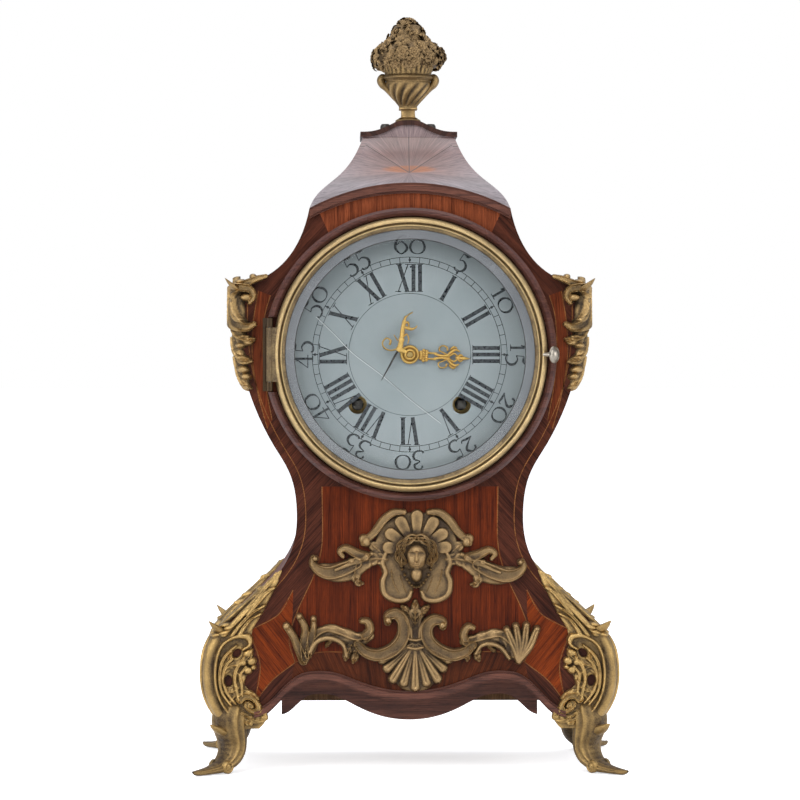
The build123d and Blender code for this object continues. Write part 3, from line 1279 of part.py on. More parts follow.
def make_escapement():
    inner = ESCAPE_RADIUS + PALLET_CLEARANCE
    claw = disc(*at_dial(*ESCAPE), inner + PALLET_WIDTH) - disc(*at_dial(*ESCAPE), inner)
    claw &= bar(ESCAPE_RADIUS, DIAL_HEIGHT + ESCAPE_RISE + inner / 2, DIAL_HEIGHT + PALLET_RISE)
    anchor = claw + disc(*at_dial(*PALLET), PALLET_WIDTH + FINE_ARBOR_RADIUS)
    cock_y = MOVEMENT_BACK_Y + COCK_STANDOFF
    crutch_y = MOVEMENT_BACK_Y + COCK_STANDOFF / 2
    rod_y = cock_y + COCK_THICKNESS + STUD_LENGTH / 2
    pallets = slab(anchor, ESCAPE_Y - WHEEL_THICKNESS, ESCAPE_Y + WHEEL_THICKNESS / 2)
    pallets += rod(*at_dial(*PALLET), ARBOR_RADIUS, PLATE_FRONT_Y, cock_y + COCK_THICKNESS)
    low = DIAL_HEIGHT + PALLET_RISE - CRUTCH_DROP
    drop = bar(CRUTCH_WIDTH / 2, low, DIAL_HEIGHT + PALLET_RISE)
    pallets += slab(drop, crutch_y - CRUTCH_PRONG / 2, crutch_y + CRUTCH_PRONG / 2)
    half_slot = PENDULUM_ROD + HINGE_GAP
    fork_front = crutch_y - CRUTCH_PRONG / 2
    fork = bar(half_slot + CRUTCH_PRONG, low, low + CRUTCH_PRONG * 2)
    pallets += slab(fork, fork_front, rod_y + PENDULUM_ROD + CRUTCH_PRONG)
    slot = bar(half_slot, low - OVERRUN, low + CRUTCH_PRONG * 3)
    pallets -= slab(slot, rod_y - PENDULUM_ROD - CRUTCH_PRONG, rod_y + PENDULUM_ROD + 2 * CRUTCH_PRONG)
    add("pallet_anchor", pallets)

    cock_z = DIAL_HEIGHT + PALLET_RISE
    half = COCK_WIDTH / 2
    bridge = bar(half, cock_z - COCK_HEIGHT / 2, cock_z + COCK_HEIGHT / 2)
    cock = slab(bridge - disc(0, cock_z, ARBOR_RADIUS + PIVOT_CLEARANCE), cock_y, cock_y + COCK_THICKNESS)
    foot = COCK_WIDTH / 6
    for side in (-1, 1):
        leg = bar(foot / 2, cock_z - COCK_HEIGHT / 2, cock_z + COCK_HEIGHT / 2, side * (half - foot / 2))
        cock += slab(leg, MOVEMENT_BACK_Y, cock_y)
    stud_back = cock_y + COCK_THICKNESS + STUD_LENGTH
    collar = disc(0, cock_z, 2 * STUD_RADIUS) - disc(0, cock_z, ARBOR_RADIUS + PIVOT_CLEARANCE)
    cock += slab(collar, cock_y, cock_y + COCK_THICKNESS + STUD_RADIUS)
    cock += rod(0, cock_z, STUD_RADIUS, cock_y + COCK_THICKNESS + PIVOT_CLEARANCE, stud_back)
    cock += rod(0, cock_z, 2 * STUD_RADIUS, stud_back - STUD_RADIUS / 2, stud_back)
    add("back_cock", cock)

    eye_front, eye_back = rod_y - PENDULUM_THICKNESS / 2, rod_y + PENDULUM_THICKNESS / 2
    rod_bottom = FLOOR_HEIGHT + FLOOR_THICKNESS + PENDULUM_FLOOR_GAP
    bob_z = rod_bottom + BOB_RADIUS + 2 * RATING_NUT_HEIGHT
    bore = rod(0, cock_z, STUD_RADIUS + PIVOT_CLEARANCE, eye_front - OVERRUN, eye_back + OVERRUN)
    stem_top = cock_z - STUD_RADIUS - PIVOT_CLEARANCE
    stem = upright(0, rod_y, PENDULUM_ROD, (stem_top + rod_bottom) / 2, stem_top - rod_bottom)
    pendulum = rod(0, cock_z, PENDULUM_EYE, eye_front, eye_back) + stem - bore
    half_lens = BOB_THICKNESS / 2
    lens_radius = (BOB_RADIUS**2 + half_lens**2) / (2 * half_lens)
    lens = Pos(0, lens_radius - half_lens, 0) * Sphere(lens_radius)
    lens &= Pos(0, half_lens - lens_radius, 0) * Sphere(lens_radius)
    bob = Pos(0, rod_y, bob_z) * lens - upright(0, rod_y, PENDULUM_ROD, bob_z, 4 * BOB_RADIUS)
    nut_z = bob_z - BOB_RADIUS - RATING_NUT_HEIGHT / 2
    nut = upright(0, rod_y, RATING_NUT_RADIUS, nut_z, RATING_NUT_HEIGHT)
    add("pendulum", pendulum, bob, nut - upright(0, rod_y, PENDULUM_ROD, nut_z, 2 * RATING_NUT_HEIGHT))


BELL_Y = MOVEMENT_BACK_Y - BELL_RADIUS - BELL_POST_GAP


def make_bell():
    rim = DIAL_HEIGHT + PLATE_TOP + BELL_GAP
    outer = [(BELL_RADIUS * r, rim + BELL_HEIGHT * z) for r, z in BELL_SHARES]
    radius, height = BELL_RADIUS - BELL_WALL, BELL_HEIGHT - BELL_WALL
    inner = [(radius * r, rim + height * z) for r, z in reversed(BELL_SHARES)]
    wall = make_face(Polyline(*outer, *inner, close=True))
    dome = revolve(Plane.XZ * wall, axis=Axis((0, 0, 0), (0, 0, 1)))
    dome = Pos(0, BELL_Y, 0) * dome
    crown = rim + BELL_HEIGHT
    screw = upright(0, BELL_Y, BELL_SCREW_RADIUS, crown, 2 * BELL_POST_THICKNESS)
    add("bell", dome - screw)
    half = BELL_POST_WIDTH / 2
    post_x = COCK_WIDTH / 2 + BELL_POST_GAP
    post_top = crown + BELL_POST_THICKNESS
    post_back = MOVEMENT_BACK_Y + BELL_POST_THICKNESS
    foot = DIAL_HEIGHT + PLATE_TOP - 2 * BELL_POST_WIDTH
    stand = block((post_x, MOVEMENT_BACK_Y, foot), (post_x + BELL_POST_WIDTH, post_back, post_top))
    stand += block((-half, MOVEMENT_BACK_Y, crown), (post_x, post_back, post_top))
    stand += block((-half, BELL_Y - half, crown), (half, MOVEMENT_BACK_Y, post_top))
    add("bell_stand", stand + screw)


def make_hammer():
    head_z = PLATE_TOP + BELL_GAP + HAMMER_HEAD_RADIUS
    head_x = BELL_RADIUS + HAMMER_GAP + HAMMER_HEAD_LENGTH / 2
    length = math.dist(HAMMER, (head_x, head_z))
    arm = Pos(*at_dial(*HAMMER)) * Rot(0, 0, angle_to(HAMMER, (head_x, head_z)))
    arm *= Pos(length / 2, 0) * Rectangle(length, HAMMER_ARM)
    hammer = slab(arm, BELL_Y - HAMMER_ARM / 2, BELL_Y + HAMMER_ARM / 2)
    hammer += rod(*at_dial(*HAMMER), 2 * ARBOR_RADIUS, BELL_Y - HAMMER_ARM, BELL_Y + HAMMER_ARM)
    hammer += arbor(HAMMER, ARBOR_RADIUS)
    hammer += Pos(head_x, BELL_Y, DIAL_HEIGHT + head_z) * Rot(0, 90, 0) * Cylinder(
        HAMMER_HEAD_RADIUS, HAMMER_HEAD_LENGTH
    )
    add("hammer", hammer)


make_case()
make_mouldings()
make_roof()
make_feet()
make_shoulder_mounts()
make_front_mounts()
make_finial()
make_flowers()
make_surround()
make_bezel()
bezel_pin = make_bezel_hinge()
make_dial()
door_pins = make_back_door()
add("hinge_pins", bezel_pin, *door_pins)
make_plates()
make_going_train()
make_strike_train()
make_hands(make_motion_work())
make_escapement()
make_bell()
make_hammer()

os.makedirs("parts", exist_ok=True)
for name, solids in parts.items():
    export_step(solids[0] if len(solids) == 1 else Compound(solids), f"parts/{name}.step")
print(len(parts), "parts")
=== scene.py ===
import math
import random
from functools import partial

import bpy
import numpy as np
from mathutils.geometry import delaunay_2d_cdt
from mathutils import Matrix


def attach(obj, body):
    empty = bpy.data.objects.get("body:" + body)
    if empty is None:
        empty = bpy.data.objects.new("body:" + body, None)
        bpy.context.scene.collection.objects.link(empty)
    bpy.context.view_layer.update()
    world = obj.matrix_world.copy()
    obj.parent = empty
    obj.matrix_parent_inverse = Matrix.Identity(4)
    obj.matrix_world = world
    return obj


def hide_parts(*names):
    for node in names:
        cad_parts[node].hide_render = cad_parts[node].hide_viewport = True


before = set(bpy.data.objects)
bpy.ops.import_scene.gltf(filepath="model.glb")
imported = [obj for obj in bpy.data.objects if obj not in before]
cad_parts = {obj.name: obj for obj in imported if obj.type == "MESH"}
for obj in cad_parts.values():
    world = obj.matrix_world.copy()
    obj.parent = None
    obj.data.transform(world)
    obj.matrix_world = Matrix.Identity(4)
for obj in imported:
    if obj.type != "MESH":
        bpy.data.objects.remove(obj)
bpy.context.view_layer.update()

bl_info = {
    "name": "Waisted mantel clock",
    "version": (1, 0, 0),
    "blender": (4, 5, 0),
    "location": "View3D > Sidebar > Clock",
    "description": "Finishes the veneered mantel clock with gilt mounts and sets up its studio",
    "category": "Object",
}

MM = 0.001

# The case's main places in millimetres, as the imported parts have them
FRONT_Y = -62.0
DIAL_Z = 279.5
DIAL_RIM_Y = -51.0
DIAL_DOME = 3.0
DIAL_RADIUS = 86.0


# Shapes

def spline(points, steps=12):
    """Points of a smooth curve through the given points, with any further values carried along."""
    points = np.array(points, float)
    if len(points) < 3:
        share = np.linspace(0, 1, 2 * steps)[:, None]
        return points[0] * (1 - share) + points[-1] * share
    whole = np.vstack([2 * points[0] - points[1], points, 2 * points[-1] - points[-2]])
    share = (np.arange(steps) / steps)[:, None]
    runs = []
    for a, b, c, d in zip(whole, whole[1:], whole[2:], whole[3:]):
        runs.append(
            0.5 * (2 * b + (c - a) * share + (2 * a - 5 * b + 4 * c - d) * share**2
                   + (3 * b - a - 3 * c + d) * share**3)
        )
    return np.vstack(runs + [points[-1:]])


def piece(name, verts, faces, material, body="case", slot=None, replaces=(), sharp=40, values=None):
    """A named mesh from points in millimetres that rides on one body."""
    mesh = bpy.data.meshes.new(name)
    mesh.from_pydata((np.array(verts, float) * MM).tolist(), [], [list(map(int, face)) for face in faces])
    for key, data in (values or {}).items():
        mesh.attributes.new(key, "FLOAT", "POINT").data.foreach_set("value", np.array(data, np.float32))
    mesh.shade_smooth()
    mesh.set_sharp_from_angle(angle=math.radians(sharp))
    mesh.materials.append(material)
    made = bpy.data.objects.new(name, mesh)
    bpy.context.scene.collection.objects.link(made)
    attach(made, body)
    if replaces:
        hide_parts(*replaces)
    return made


class Bundle:
    """Collects the points and faces of several shells for one piece."""

    def __init__(self):
        self.verts = []
        self.faces = []
        self.wear = []

    def add(self, verts, faces, wear):
        start = len(self.verts)
        self.verts.extend(map(tuple, verts))
        self.faces.extend(tuple(start + i for i in face) for face in faces)
        self.wear.extend(np.broadcast_to(np.asarray(wear, float), (len(verts),)).tolist())

    def sheet(self, grid, wear=0.5, wrap=False, flip=False):
        """A grid of points, rows by columns, as quads."""
        grid = np.asarray(grid, float)
        rows, columns = grid.shape[:2]
        faces = []
        for i in range(rows - 1):
            for j in range(columns if wrap else columns - 1):
                k = (j + 1) % columns
                face = (i * columns + j, i * columns + k, (i + 1) * columns + k, (i + 1) * columns + j)
                faces.append(face[::-1] if flip else face)
        worn = wear if np.isscalar(wear) else np.asarray(wear).reshape(-1)
        self.add(grid.reshape(-1, 3), faces, worn)

    def piece(self, name, material, **options):
        """Everything collected, as one piece that carries its wear."""
        piece(name, self.verts, self.faces, material, values={"wear": self.wear}, **options)


def circle(count):
    """Angles once round, without the last one that would meet the first."""
    return np.linspace(0, 2 * math.pi, count, endpoint=False)


def turned(profile, segments):
    """A grid turned about the dial's axis from (radius, y) points."""
    turns = circle(segments)
    return np.array([
        np.stack([radius * np.sin(turns), np.full_like(turns, y), DIAL_Z + radius * np.cos(turns)], axis=1)
        for radius, y in profile])


def blur(field, reach):
    """A field softened by a box of the given reach, three times over."""
    for _ in range(3):
        for axis in (0, 1):
            padded = np.concatenate([np.repeat(np.take(field, [0], axis), reach + 1, axis), field,
                                     np.repeat(np.take(field, [-1], axis), reach, axis)], axis)
            total = np.cumsum(padded, axis)
            size = 2 * reach + 1
            upper = np.take(total, np.arange(size, total.shape[axis]), axis)
            lower = np.take(total, np.arange(0, total.shape[axis] - size), axis)
            field = (upper - lower) / size
    return field


# Profiles of a cast strap: across runs from -1 to 1, along from 0 to 1

def scroll(across, along):
    """A hollow strap between two rolled rims."""
    edge = np.abs(across)
    rim = np.exp(-((edge - 0.74) / 0.17) ** 2)
    return (0.64 + 0.36 * rim) * np.sqrt(np.clip(1 - (np.clip(edge - 0.82, 0, 1) / 0.19) ** 2, 0, 1))


def rounded(across, along):
    """A plain half-round strap."""
    return np.sqrt(np.clip(1 - across**2, 0, 1))


def leaf(across, along):
    """An acanthus leaf: a mid rib, slanting side ribs and a turned-up edge."""
    edge = np.abs(across)
    rib = np.exp(-((across / 0.16) ** 2))
    folds = 0.5 + 0.5 * np.cos(2 * math.pi * (4.5 * along - 0.9 * edge))
    body = 0.6 + 0.22 * folds * np.clip(edge * 2.2, 0, 1) + 0.35 * rib - 0.22 * edge
    return body * np.sqrt(np.clip(1 - np.clip(edge - 0.7, 0, 1) ** 2 / 0.095, 0, 1))


def flute(across, along):
    """A petal, hollow down its middle and deeper towards its end."""
    edge = np.abs(across)
    hollow = 0.55 * np.exp(-((across / 0.42) ** 2)) * np.clip(along * 1.6, 0, 1)
    return (1 - hollow) * np.sqrt(np.clip(1 - edge**4, 0, 1))


def ridge(across, along):
    """A rib with a fine groove down its middle."""
    groove = 0.22 * np.exp(-((across / 0.2) ** 2)) * np.clip(along * 2, 0, 1)
    return np.sqrt(np.clip(1 - across**2, 0, 1)) * (1 - groove)


def feather(across, along):
    """A broad flat feather, slightly hollow, with square edges."""
    edge = np.abs(across)
    return (0.86 + 0.14 * edge**2) * np.sqrt(np.clip(1 - edge**8, 0, 1)) * (0.75 + 0.25 * along)


# A casting's empty ground, the width of its rolled edge, and how its wear follows its height
OUTSIDE = -4.0
ROLL = 0.7
WEAR_REACH, WEAR_RANGE = 1.8, 2.2
SKIRT_WEAR = 0.2


class Relief:
    """A casting as heights over a sheet with its own outline, in millimetres."""

    def __init__(self, low, high, cell):
        self.cell = cell
        self.u = np.arange(low[0], high[0] + cell, cell)
        self.v = np.arange(low[1], high[1] + cell, cell)
        shape = (len(self.v), len(self.u))
        self.inside = np.full(shape, OUTSIDE)
        self.height = np.zeros(shape)

    def window(self, low, high):
        """The cells between two corners, and their u and v."""
        def span(axis, first, last):
            return slice(max(0, int((first - axis[0]) / self.cell)),
                         max(0, min(len(axis), int((last - axis[0]) / self.cell) + 2)))

        columns, rows = span(self.u, low[0], high[0]), span(self.v, low[1], high[1])
        return (rows, columns), self.u[columns][None, :], self.v[rows][:, None]

    def lay(self, inside, height, on_top):
        """Add a shape by its distance inside its outline and its height."""
        raised = np.where(inside > 0, height, 0)
        self.height = self.height + raised if on_top else np.maximum(self.height, raised)
        self.inside = np.maximum(self.inside, inside)

    def stroke(self, points, height, profile, on_top=False, lobes=0, depth=0.25, steps=12):
        """A strap along points (u, v, half width), with an optional lobed edge."""
        path = spline(points, steps)
        length = np.concatenate([[0], np.cumsum(np.hypot(*np.diff(path[:, :2], axis=0).T))])
        along_all = length / length[-1]
        best = np.full_like(self.inside, OUTSIDE)
        side = np.zeros_like(best)
        share = np.zeros_like(best)
        for (au, av, aw), (bu, bv, bw), first, last in zip(path, path[1:], along_all, along_all[1:]):
            reach = max(aw, bw) + 4 * self.cell
            area, u, v = self.window((min(au, bu) - reach, min(av, bv) - reach),
                                     (max(au, bu) + reach, max(av, bv) + reach))
            du, dv = bu - au, bv - av
            size = du * du + dv * dv or 1e-9
            t = np.clip(((u - au) * du + (v - av) * dv) / size, 0, 1)
            away = np.hypot(u - au - t * du, v - av - t * dv)
            along = first + (last - first) * t
            width = aw + (bw - aw) * t
            if lobes:
                width = width * (1 - depth * (0.5 + 0.5 * np.cos(2 * math.pi * lobes * along)))
            score = width - away
            turn = np.sign((u - au) * dv - (v - av) * du)
            better = score > best[area]
            best[area] = np.where(better, score, best[area])
            side[area] = np.where(better, turn * away / np.maximum(width, 1e-6), side[area])
            share[area] = np.where(better, along, share[area])
        self.lay(best, height * profile(np.clip(side, -1, 1), share), on_top)

    def oval(self, u, v, wide, tall):
        """Every cell's place in an oval, as shares of its two half widths."""
        return (self.u[None, :] - u) / wide, (self.v[:, None] - v) / tall

    def dome(self, u, v, wide, tall, height, power=0.5, on_top=False):
        """A rounded boss."""
        reach = np.hypot(*self.oval(u, v, wide, tall))
        self.lay((1 - reach) * min(wide, tall), height * np.clip(1 - reach**2, 0, 1) ** power, on_top)

    def press(self, u, v, wide, tall, depth):
        """A soft dent in what is there."""
        across, along = self.oval(u, v, wide, tall)
        self.height = self.height - depth * np.exp(-(across**2 + along**2)) * (self.inside > 0)

    def pierce(self, u, v, wide, tall):
        """A hole right through."""
        reach = np.hypot(*self.oval(u, v, wide, tall))
        self.inside = np.minimum(self.inside, (reach - 1) * min(wide, tall))

    def curl(self, u, v, radius, width, height, start, turns):
        """A volute that winds in to its eye."""
        count = max(6, int(abs(turns) * 9))
        points = []
        for index in range(count + 1):
            share = index / count
            angle = math.radians(start) + 2 * math.pi * turns * share
            reach = radius * (1 - 0.78 * share)
            points.append((u + reach * math.cos(angle), v + reach * math.sin(angle),
                           width * (1 - 0.45 * share)))
        self.stroke(points, height, scroll, steps=4)
        self.dome(u, v, radius * 0.34, radius * 0.34, height * 1.15)

    def bundle(self, place, edge, back=-0.4, flip=False):
        """The casting's shell: place(u, v, height) gives each point, edge is its thickness at the outline."""
        inside, cell = self.inside, self.cell
        keep = inside > 0
        near = np.zeros_like(keep)
        grown = np.pad(keep, 1)
        rows, columns = keep.shape
        for i in range(3):
            for j in range(3):
                near |= grown[i:i + rows, j:j + columns]
        near &= ~keep
        slope_v, slope_u = np.gradient(inside, cell)
        steep = np.maximum(np.hypot(slope_u, slope_v), 0.2)
        move = np.where(near, np.clip(-inside / steep, 0, 1.3 * cell), 0)
        u = self.u[None, :] + move * slope_u / steep
        v = self.v[:, None] + move * slope_v / steep
        rolled = np.sqrt(np.clip(inside / ROLL, 0, 1))
        height = edge + np.where(keep, self.height * rolled, 0)
        around = blur(np.where(keep, height, 0), max(2, int(WEAR_REACH / cell)))
        worn = np.clip(0.5 + (height - around) / WEAR_RANGE, 0, 1)
        number = np.full(keep.shape, -1)
        core = keep[:-1, :-1] | keep[1:, :-1] | keep[:-1, 1:] | keep[1:, 1:]
        used = np.zeros_like(keep)
        for i in (0, 1):
            for j in (0, 1):
                used[i:rows - 1 + i, j:columns - 1 + j] |= core
        number[used] = np.arange(used.sum())
        verts = np.stack(place(u[used], v[used], height[used]), axis=1)
        i, j = np.nonzero(core)
        quads = np.stack([number[i, j], number[i, j + 1], number[i + 1, j + 1], number[i + 1, j]], axis=1)
        edges = np.concatenate([quads[:, [a, (a + 1) % 4]] for a in range(4)])
        known = {tuple(pair) for pair in edges.tolist()}
        rim = [pair for pair in known if pair[::-1] not in known]
        ends = sorted({end for pair in rim for end in pair})
        lower = {index: len(verts) + k for k, index in enumerate(ends)}
        under = np.stack(place(u[used][ends], v[used][ends], np.full(len(ends), back)), axis=1)
        faces = [tuple(face) for face in quads.tolist()] + [(b, a, lower[a], lower[b]) for a, b in rim]
        if flip:
            faces = [face[::-1] for face in faces]
        made = Bundle()
        wear = np.concatenate([worn[used], np.full(len(under), SKIRT_WEAR)])
        made.add(np.vstack([verts, under]), faces, wear)
        return made


# Finishes

PER_MM = (1000, 1000, 1000)


class Nodes:
    """A node tree, built from short calls."""

    def __init__(self, tree):
        self.tree = tree

    def node(self, kind):
        return self.tree.nodes.new("ShaderNode" + kind)

    def link(self, source, target):
        self.tree.links.new(source, target)

    def feed(self, socket, value):
        if isinstance(value, bpy.types.NodeSocket):
            self.link(value, socket)
        else:
            socket.default_value = value

    def split(self, vector):
        """The three parts of a vector."""
        node = self.node("SeparateXYZ")
        self.link(vector, node.inputs[0])
        return node.outputs

    def math(self, operation, *values):
        node = self.node("Math")
        node.operation = operation
        for socket, value in zip(node.inputs, values):
            self.feed(socket, value)
        return node.outputs[0]

    def plus(self, first, second):
        return self.math("ADD", first, second)

    def minus(self, first, second):
        return self.math("SUBTRACT", first, second)

    def times(self, first, second):
        return self.math("MULTIPLY", first, second)

    def spread(self, value, low, high, start=0.0, end=1.0):
        """A value stretched from low..high to start..end and held there."""
        node = self.node("MapRange")
        for socket, number in zip(node.inputs, (value, low, high, start, end)):
            self.feed(socket, number)
        return node.outputs[0]

    def mix(self, share, first, second, blend="MIX"):
        node = self.node("Mix")
        node.data_type = "RGBA"
        node.blend_type = blend
        for index, value in ((0, share), (6, first), (7, second)):
            if index and not isinstance(value, bpy.types.NodeSocket):
                value = (*value[:3], 1)
            self.feed(node.inputs[index], value)
        return node.outputs[2]

    def choose(self, ray, usual, special, output):
        """A special shader for rays of the named kind, and the usual one for the rest."""
        mixed = self.node("MixShader")
        sources = (self.node("LightPath").outputs[ray], usual.outputs[0], special.outputs[0])
        for source, socket in zip(sources, mixed.inputs):
            self.link(source, socket)
        self.link(mixed.outputs[0], self.tree.nodes[output].inputs["Surface"])


class Paint(Nodes):
    """A procedural material."""

    def __init__(self, name):
        self.material = bpy.data.materials.new(name)
        self.material.use_nodes = True
        super().__init__(self.material.node_tree)
        self.shader = self.tree.nodes["Principled BSDF"]

    def set(self, **values):
        names = {"color": "Base Color", "coat": "Coat Weight", "coat_roughness": "Coat Roughness",
                 "transmission": "Transmission Weight", "ior": "IOR", "specular": "Specular IOR Level"}
        for key, value in values.items():
            if key == "color" and not isinstance(value, bpy.types.NodeSocket):
                value = (*value[:3], 1)
            self.feed(self.shader.inputs[names.get(key, key.capitalize())], value)
        return self.material

    def place(self, scale=PER_MM, turn=(0, 0, 0), uv=None):
        """Object coordinates, or a named set of sheet coordinates, scaled and turned."""
        if uv:
            source = self.node("UVMap")
            source.uv_map = uv
            start = source.outputs[0]
        else:
            start = self.node("TexCoord").outputs["Object"]
        mapping = self.node("Mapping")
        self.link(start, mapping.inputs["Vector"])
        mapping.inputs["Rotation"].default_value = [math.radians(a) for a in turn]
        mapping.inputs["Scale"].default_value = scale
        return mapping.outputs[0]

    def attribute(self, name, output):
        node = self.node("Attribute")
        node.attribute_name = name
        return node.outputs[output]

    def noise(self, vector, scale=1.0, detail=3.0, rough=0.55, warp=0.0):
        node = self.node("TexNoise")
        self.link(vector, node.inputs["Vector"])
        for key, value in (("Scale", scale), ("Detail", detail), ("Roughness", rough), ("Distortion", warp)):
            node.inputs[key].default_value = value
        return node.outputs["Fac"]

    def bump(self, height, strength, distance):
        node = self.node("Bump")
        node.inputs["Strength"].default_value = strength
        node.inputs["Distance"].default_value = distance
        self.link(height, node.inputs["Height"])
        self.link(node.outputs[0], self.shader.inputs["Normal"])


FLAT_FACE = 0.7
SIDE_TONES = ((0.05, 0.012, 0.006), (0.16, 0.038, 0.012))
CARCASE_TONES = ((0.12, 0.06, 0.027), (0.27, 0.15, 0.075))


# The roof's fan of grain: its foot, how fine it is, and the joints between its leaves
FAN_FOOT = 402.0
FAN_GRAIN = 24.0
FACE_CORNER = 1.08
SEAM_ANGLE = 0.98
SEAM_HALF = 0.32
SEAM_TONE = (0.05, 0.024, 0.02)
PATCH_MIDDLE, PATCH_TALL, PATCH_WIDE = 404.5, 2.6, 18.0
# The cap's half sizes inside its dark edge
CAP_X, CAP_Y = 31.6, 25.6


def roof_wood(name="roof_veneer", edge=False):
    """Veneer with its grain in a fan from a point low on each face, with a pale lilac grey painted sheen
    towards its ends and foot.
    """
    paint = Paint(name)
    spot_x, spot_y, z = paint.split(paint.place())
    x, y = paint.math("ABSOLUTE", spot_x), paint.math("ABSOLUTE", spot_y)
    facing = paint.math("GREATER_THAN", paint.times(y, FACE_CORNER), x)
    across = paint.plus(paint.times(x, facing), paint.times(y, paint.minus(1.0, facing)))
    up = paint.minus(z, FAN_FOOT)
    reach = paint.math("SQRT", paint.plus(paint.times(across, across), paint.times(up, up)))
    angle = paint.math("ARCTAN2", across, up)
    joined = paint.node("CombineXYZ")
    for socket, value in zip(joined.inputs, (reach, paint.times(angle, FAN_GRAIN), facing)):
        paint.feed(socket, value)
    low = paint.math("DIVIDE", paint.minus(z, PATCH_MIDDLE), PATCH_TALL)
    wide = paint.math("DIVIDE", across, PATCH_WIDE)
    patch = paint.spread(paint.plus(paint.times(low, low), paint.times(wide, wide)), 0.5, 1.2, 1.0, 0.0)
    # Painted sheen: bloom is the share by which the tones move towards a pale lilac grey towards each face's
    # ends and its foot, for the light the slope reflects.
    bloom = paint.math("MAXIMUM", paint.spread(across, 14, 58, 0.15, 0.75),
                       paint.spread(z, 404, 394, 0.15, 0.7))
    seam = paint.times(paint.math("ABSOLUTE", paint.minus(angle, SEAM_ANGLE)), reach)
    joint = paint.times(paint.math("LESS_THAN", paint.math("MINIMUM", across, seam), SEAM_HALF),
                        paint.math("GREATER_THAN", up, 0.0))
    # The second tone of each inner mix is the painted sheen's lilac grey.
    dark = paint.mix(patch, paint.mix(bloom, (0.09, 0.038, 0.028), (0.17, 0.15, 0.165)), (0.17, 0.045, 0.012))
    light = paint.mix(patch, paint.mix(bloom, (0.22, 0.098, 0.068), (0.28, 0.26, 0.295)),
                      (0.38, 0.125, 0.035))
    dark, light = (paint.mix(joint, tone, SEAM_TONE) for tone in (dark, light))
    coat, specular = 0.45, 0.55
    if edge:
        rim = paint.math("GREATER_THAN", paint.math(
            "MAXIMUM", paint.math("DIVIDE", x, CAP_X), paint.math("DIVIDE", y, CAP_Y)), 1.0)
        # Below the dark rim the cap's face takes the pale lilac grey at a fixed share: a painted sheen, which
        # also paints out the shade under the overhang.
        dark = paint.mix(rim, paint.mix(0.6, dark, (0.24, 0.19, 0.19)), (0.02, 0.009, 0.007))
        light = paint.mix(rim, paint.mix(0.6, light, (0.4, 0.33, 0.34)), (0.085, 0.035, 0.024))
        coat, specular = 0.05, 0.2
    return wood(name, dark, light, gloss=0.34, coat=coat, paint=paint, place=joined.outputs[0],
                specular=specular)


def edged_wood():
    """Plain wood on the back's flat face, with the sides' veneer carried round its edges."""
    paint = Paint("edged_wood")
    normal = paint.split(paint.node("TexCoord").outputs["Normal"])
    flat = paint.math("GREATER_THAN", paint.math("ABSOLUTE", normal[1]), FLAT_FACE)
    dark, light = (paint.mix(flat, side, back) for side, back in zip(SIDE_TONES, CARCASE_TONES))
    return wood("edged_wood", dark, light, turn=(0, 90, 0), gloss=0.5, coat=0.0, paint=paint)


def wood(name, dark, light, turn=(0, 0, 0), gloss=0.36, coat=0.03, uv=None, tint=None, paint=None, place=None,
         specular=0.1):
    """Polished wood with its grain along the first coordinate, which counts millimetres."""
    paint = paint or Paint(name)
    place = place or paint.place((1, 1, 1) if uv else PER_MM, turn, uv)

    def stretched(along, across):
        mapping = paint.node("Mapping")
        paint.link(place, mapping.inputs["Vector"])
        mapping.inputs["Scale"].default_value = (along, across, across)
        return mapping.outputs[0]

    bands = paint.noise(stretched(0.012, 0.22), detail=4, warp=0.6)
    fibres = paint.noise(stretched(0.03, 1.3), detail=3)
    pores = paint.noise(stretched(0.16, 4.2), detail=2)
    clouds = paint.noise(stretched(0.03, 0.03), detail=2)
    figure = paint.plus(paint.times(bands, 0.5), paint.times(fibres, 0.5))
    colour = paint.mix(paint.spread(figure, 0.36, 0.64), dark, light)
    if tint:
        colour = paint.mix(1.0, colour, paint.attribute(tint, "Color"), "MULTIPLY")
    pore_shade = paint.spread(pores, 0.32, 0.5, 0.45, 1.0)
    shade = paint.times(pore_shade, paint.spread(clouds, 0.3, 0.7, 0.82, 1.12))
    shaded = paint.node("VectorMath")
    shaded.operation = "SCALE"
    paint.link(colour, shaded.inputs[0])
    paint.link(shade, shaded.inputs["Scale"])
    paint.bump(pores, 0.12, 0.0002)
    roughness = paint.spread(clouds, 0.3, 0.7, gloss, gloss + 0.14)
    return paint.set(color=shaded.outputs[0], roughness=roughness, coat=coat, coat_roughness=0.16,
                     specular=specular)


def metal(name, dark, bright, rough, worn, attribute):
    """Gilt or bare metal, dark in its hollows and rubbed bright on its high parts."""
    dull, clean = (0.5, 0.95) if attribute else (0.55, 1.0)
    paint = Paint(name)
    place = paint.place()
    patches = paint.noise(place, 0.09, 5, 0.65)
    grains = paint.noise(place, 0.9, 4, 0.6)
    mottled = paint.plus(paint.times(patches, 0.55), paint.times(grains, 0.45))
    if attribute:
        high = paint.spread(paint.attribute("wear", "Fac"), 0.27, 0.75)
        rubbed = paint.plus(paint.times(high, 0.72),
                            paint.spread(mottled, 0.35, 0.65, -0.22 + worn * 0.2, 0.18 + worn * 0.3))
    else:
        rubbed = paint.spread(mottled, 0.38, 0.62, worn - 0.25, worn + 0.35)
    share = paint.spread(rubbed, 0.0, 1.0)
    colour = paint.mix(share, dark, bright)
    if attribute:
        chased = paint.noise(place, 0.7, 3, 0.6, 1.4)
        paint.bump(paint.plus(chased, paint.times(grains, 0.35)), 0.55, 0.0007)
    else:
        paint.bump(grains, 0.18, 0.0003)
    return paint.set(color=colour, metallic=paint.spread(share, 0, 0.6, dull, clean),
                     roughness=paint.spread(share, 0, 1, rough + 0.25, rough))


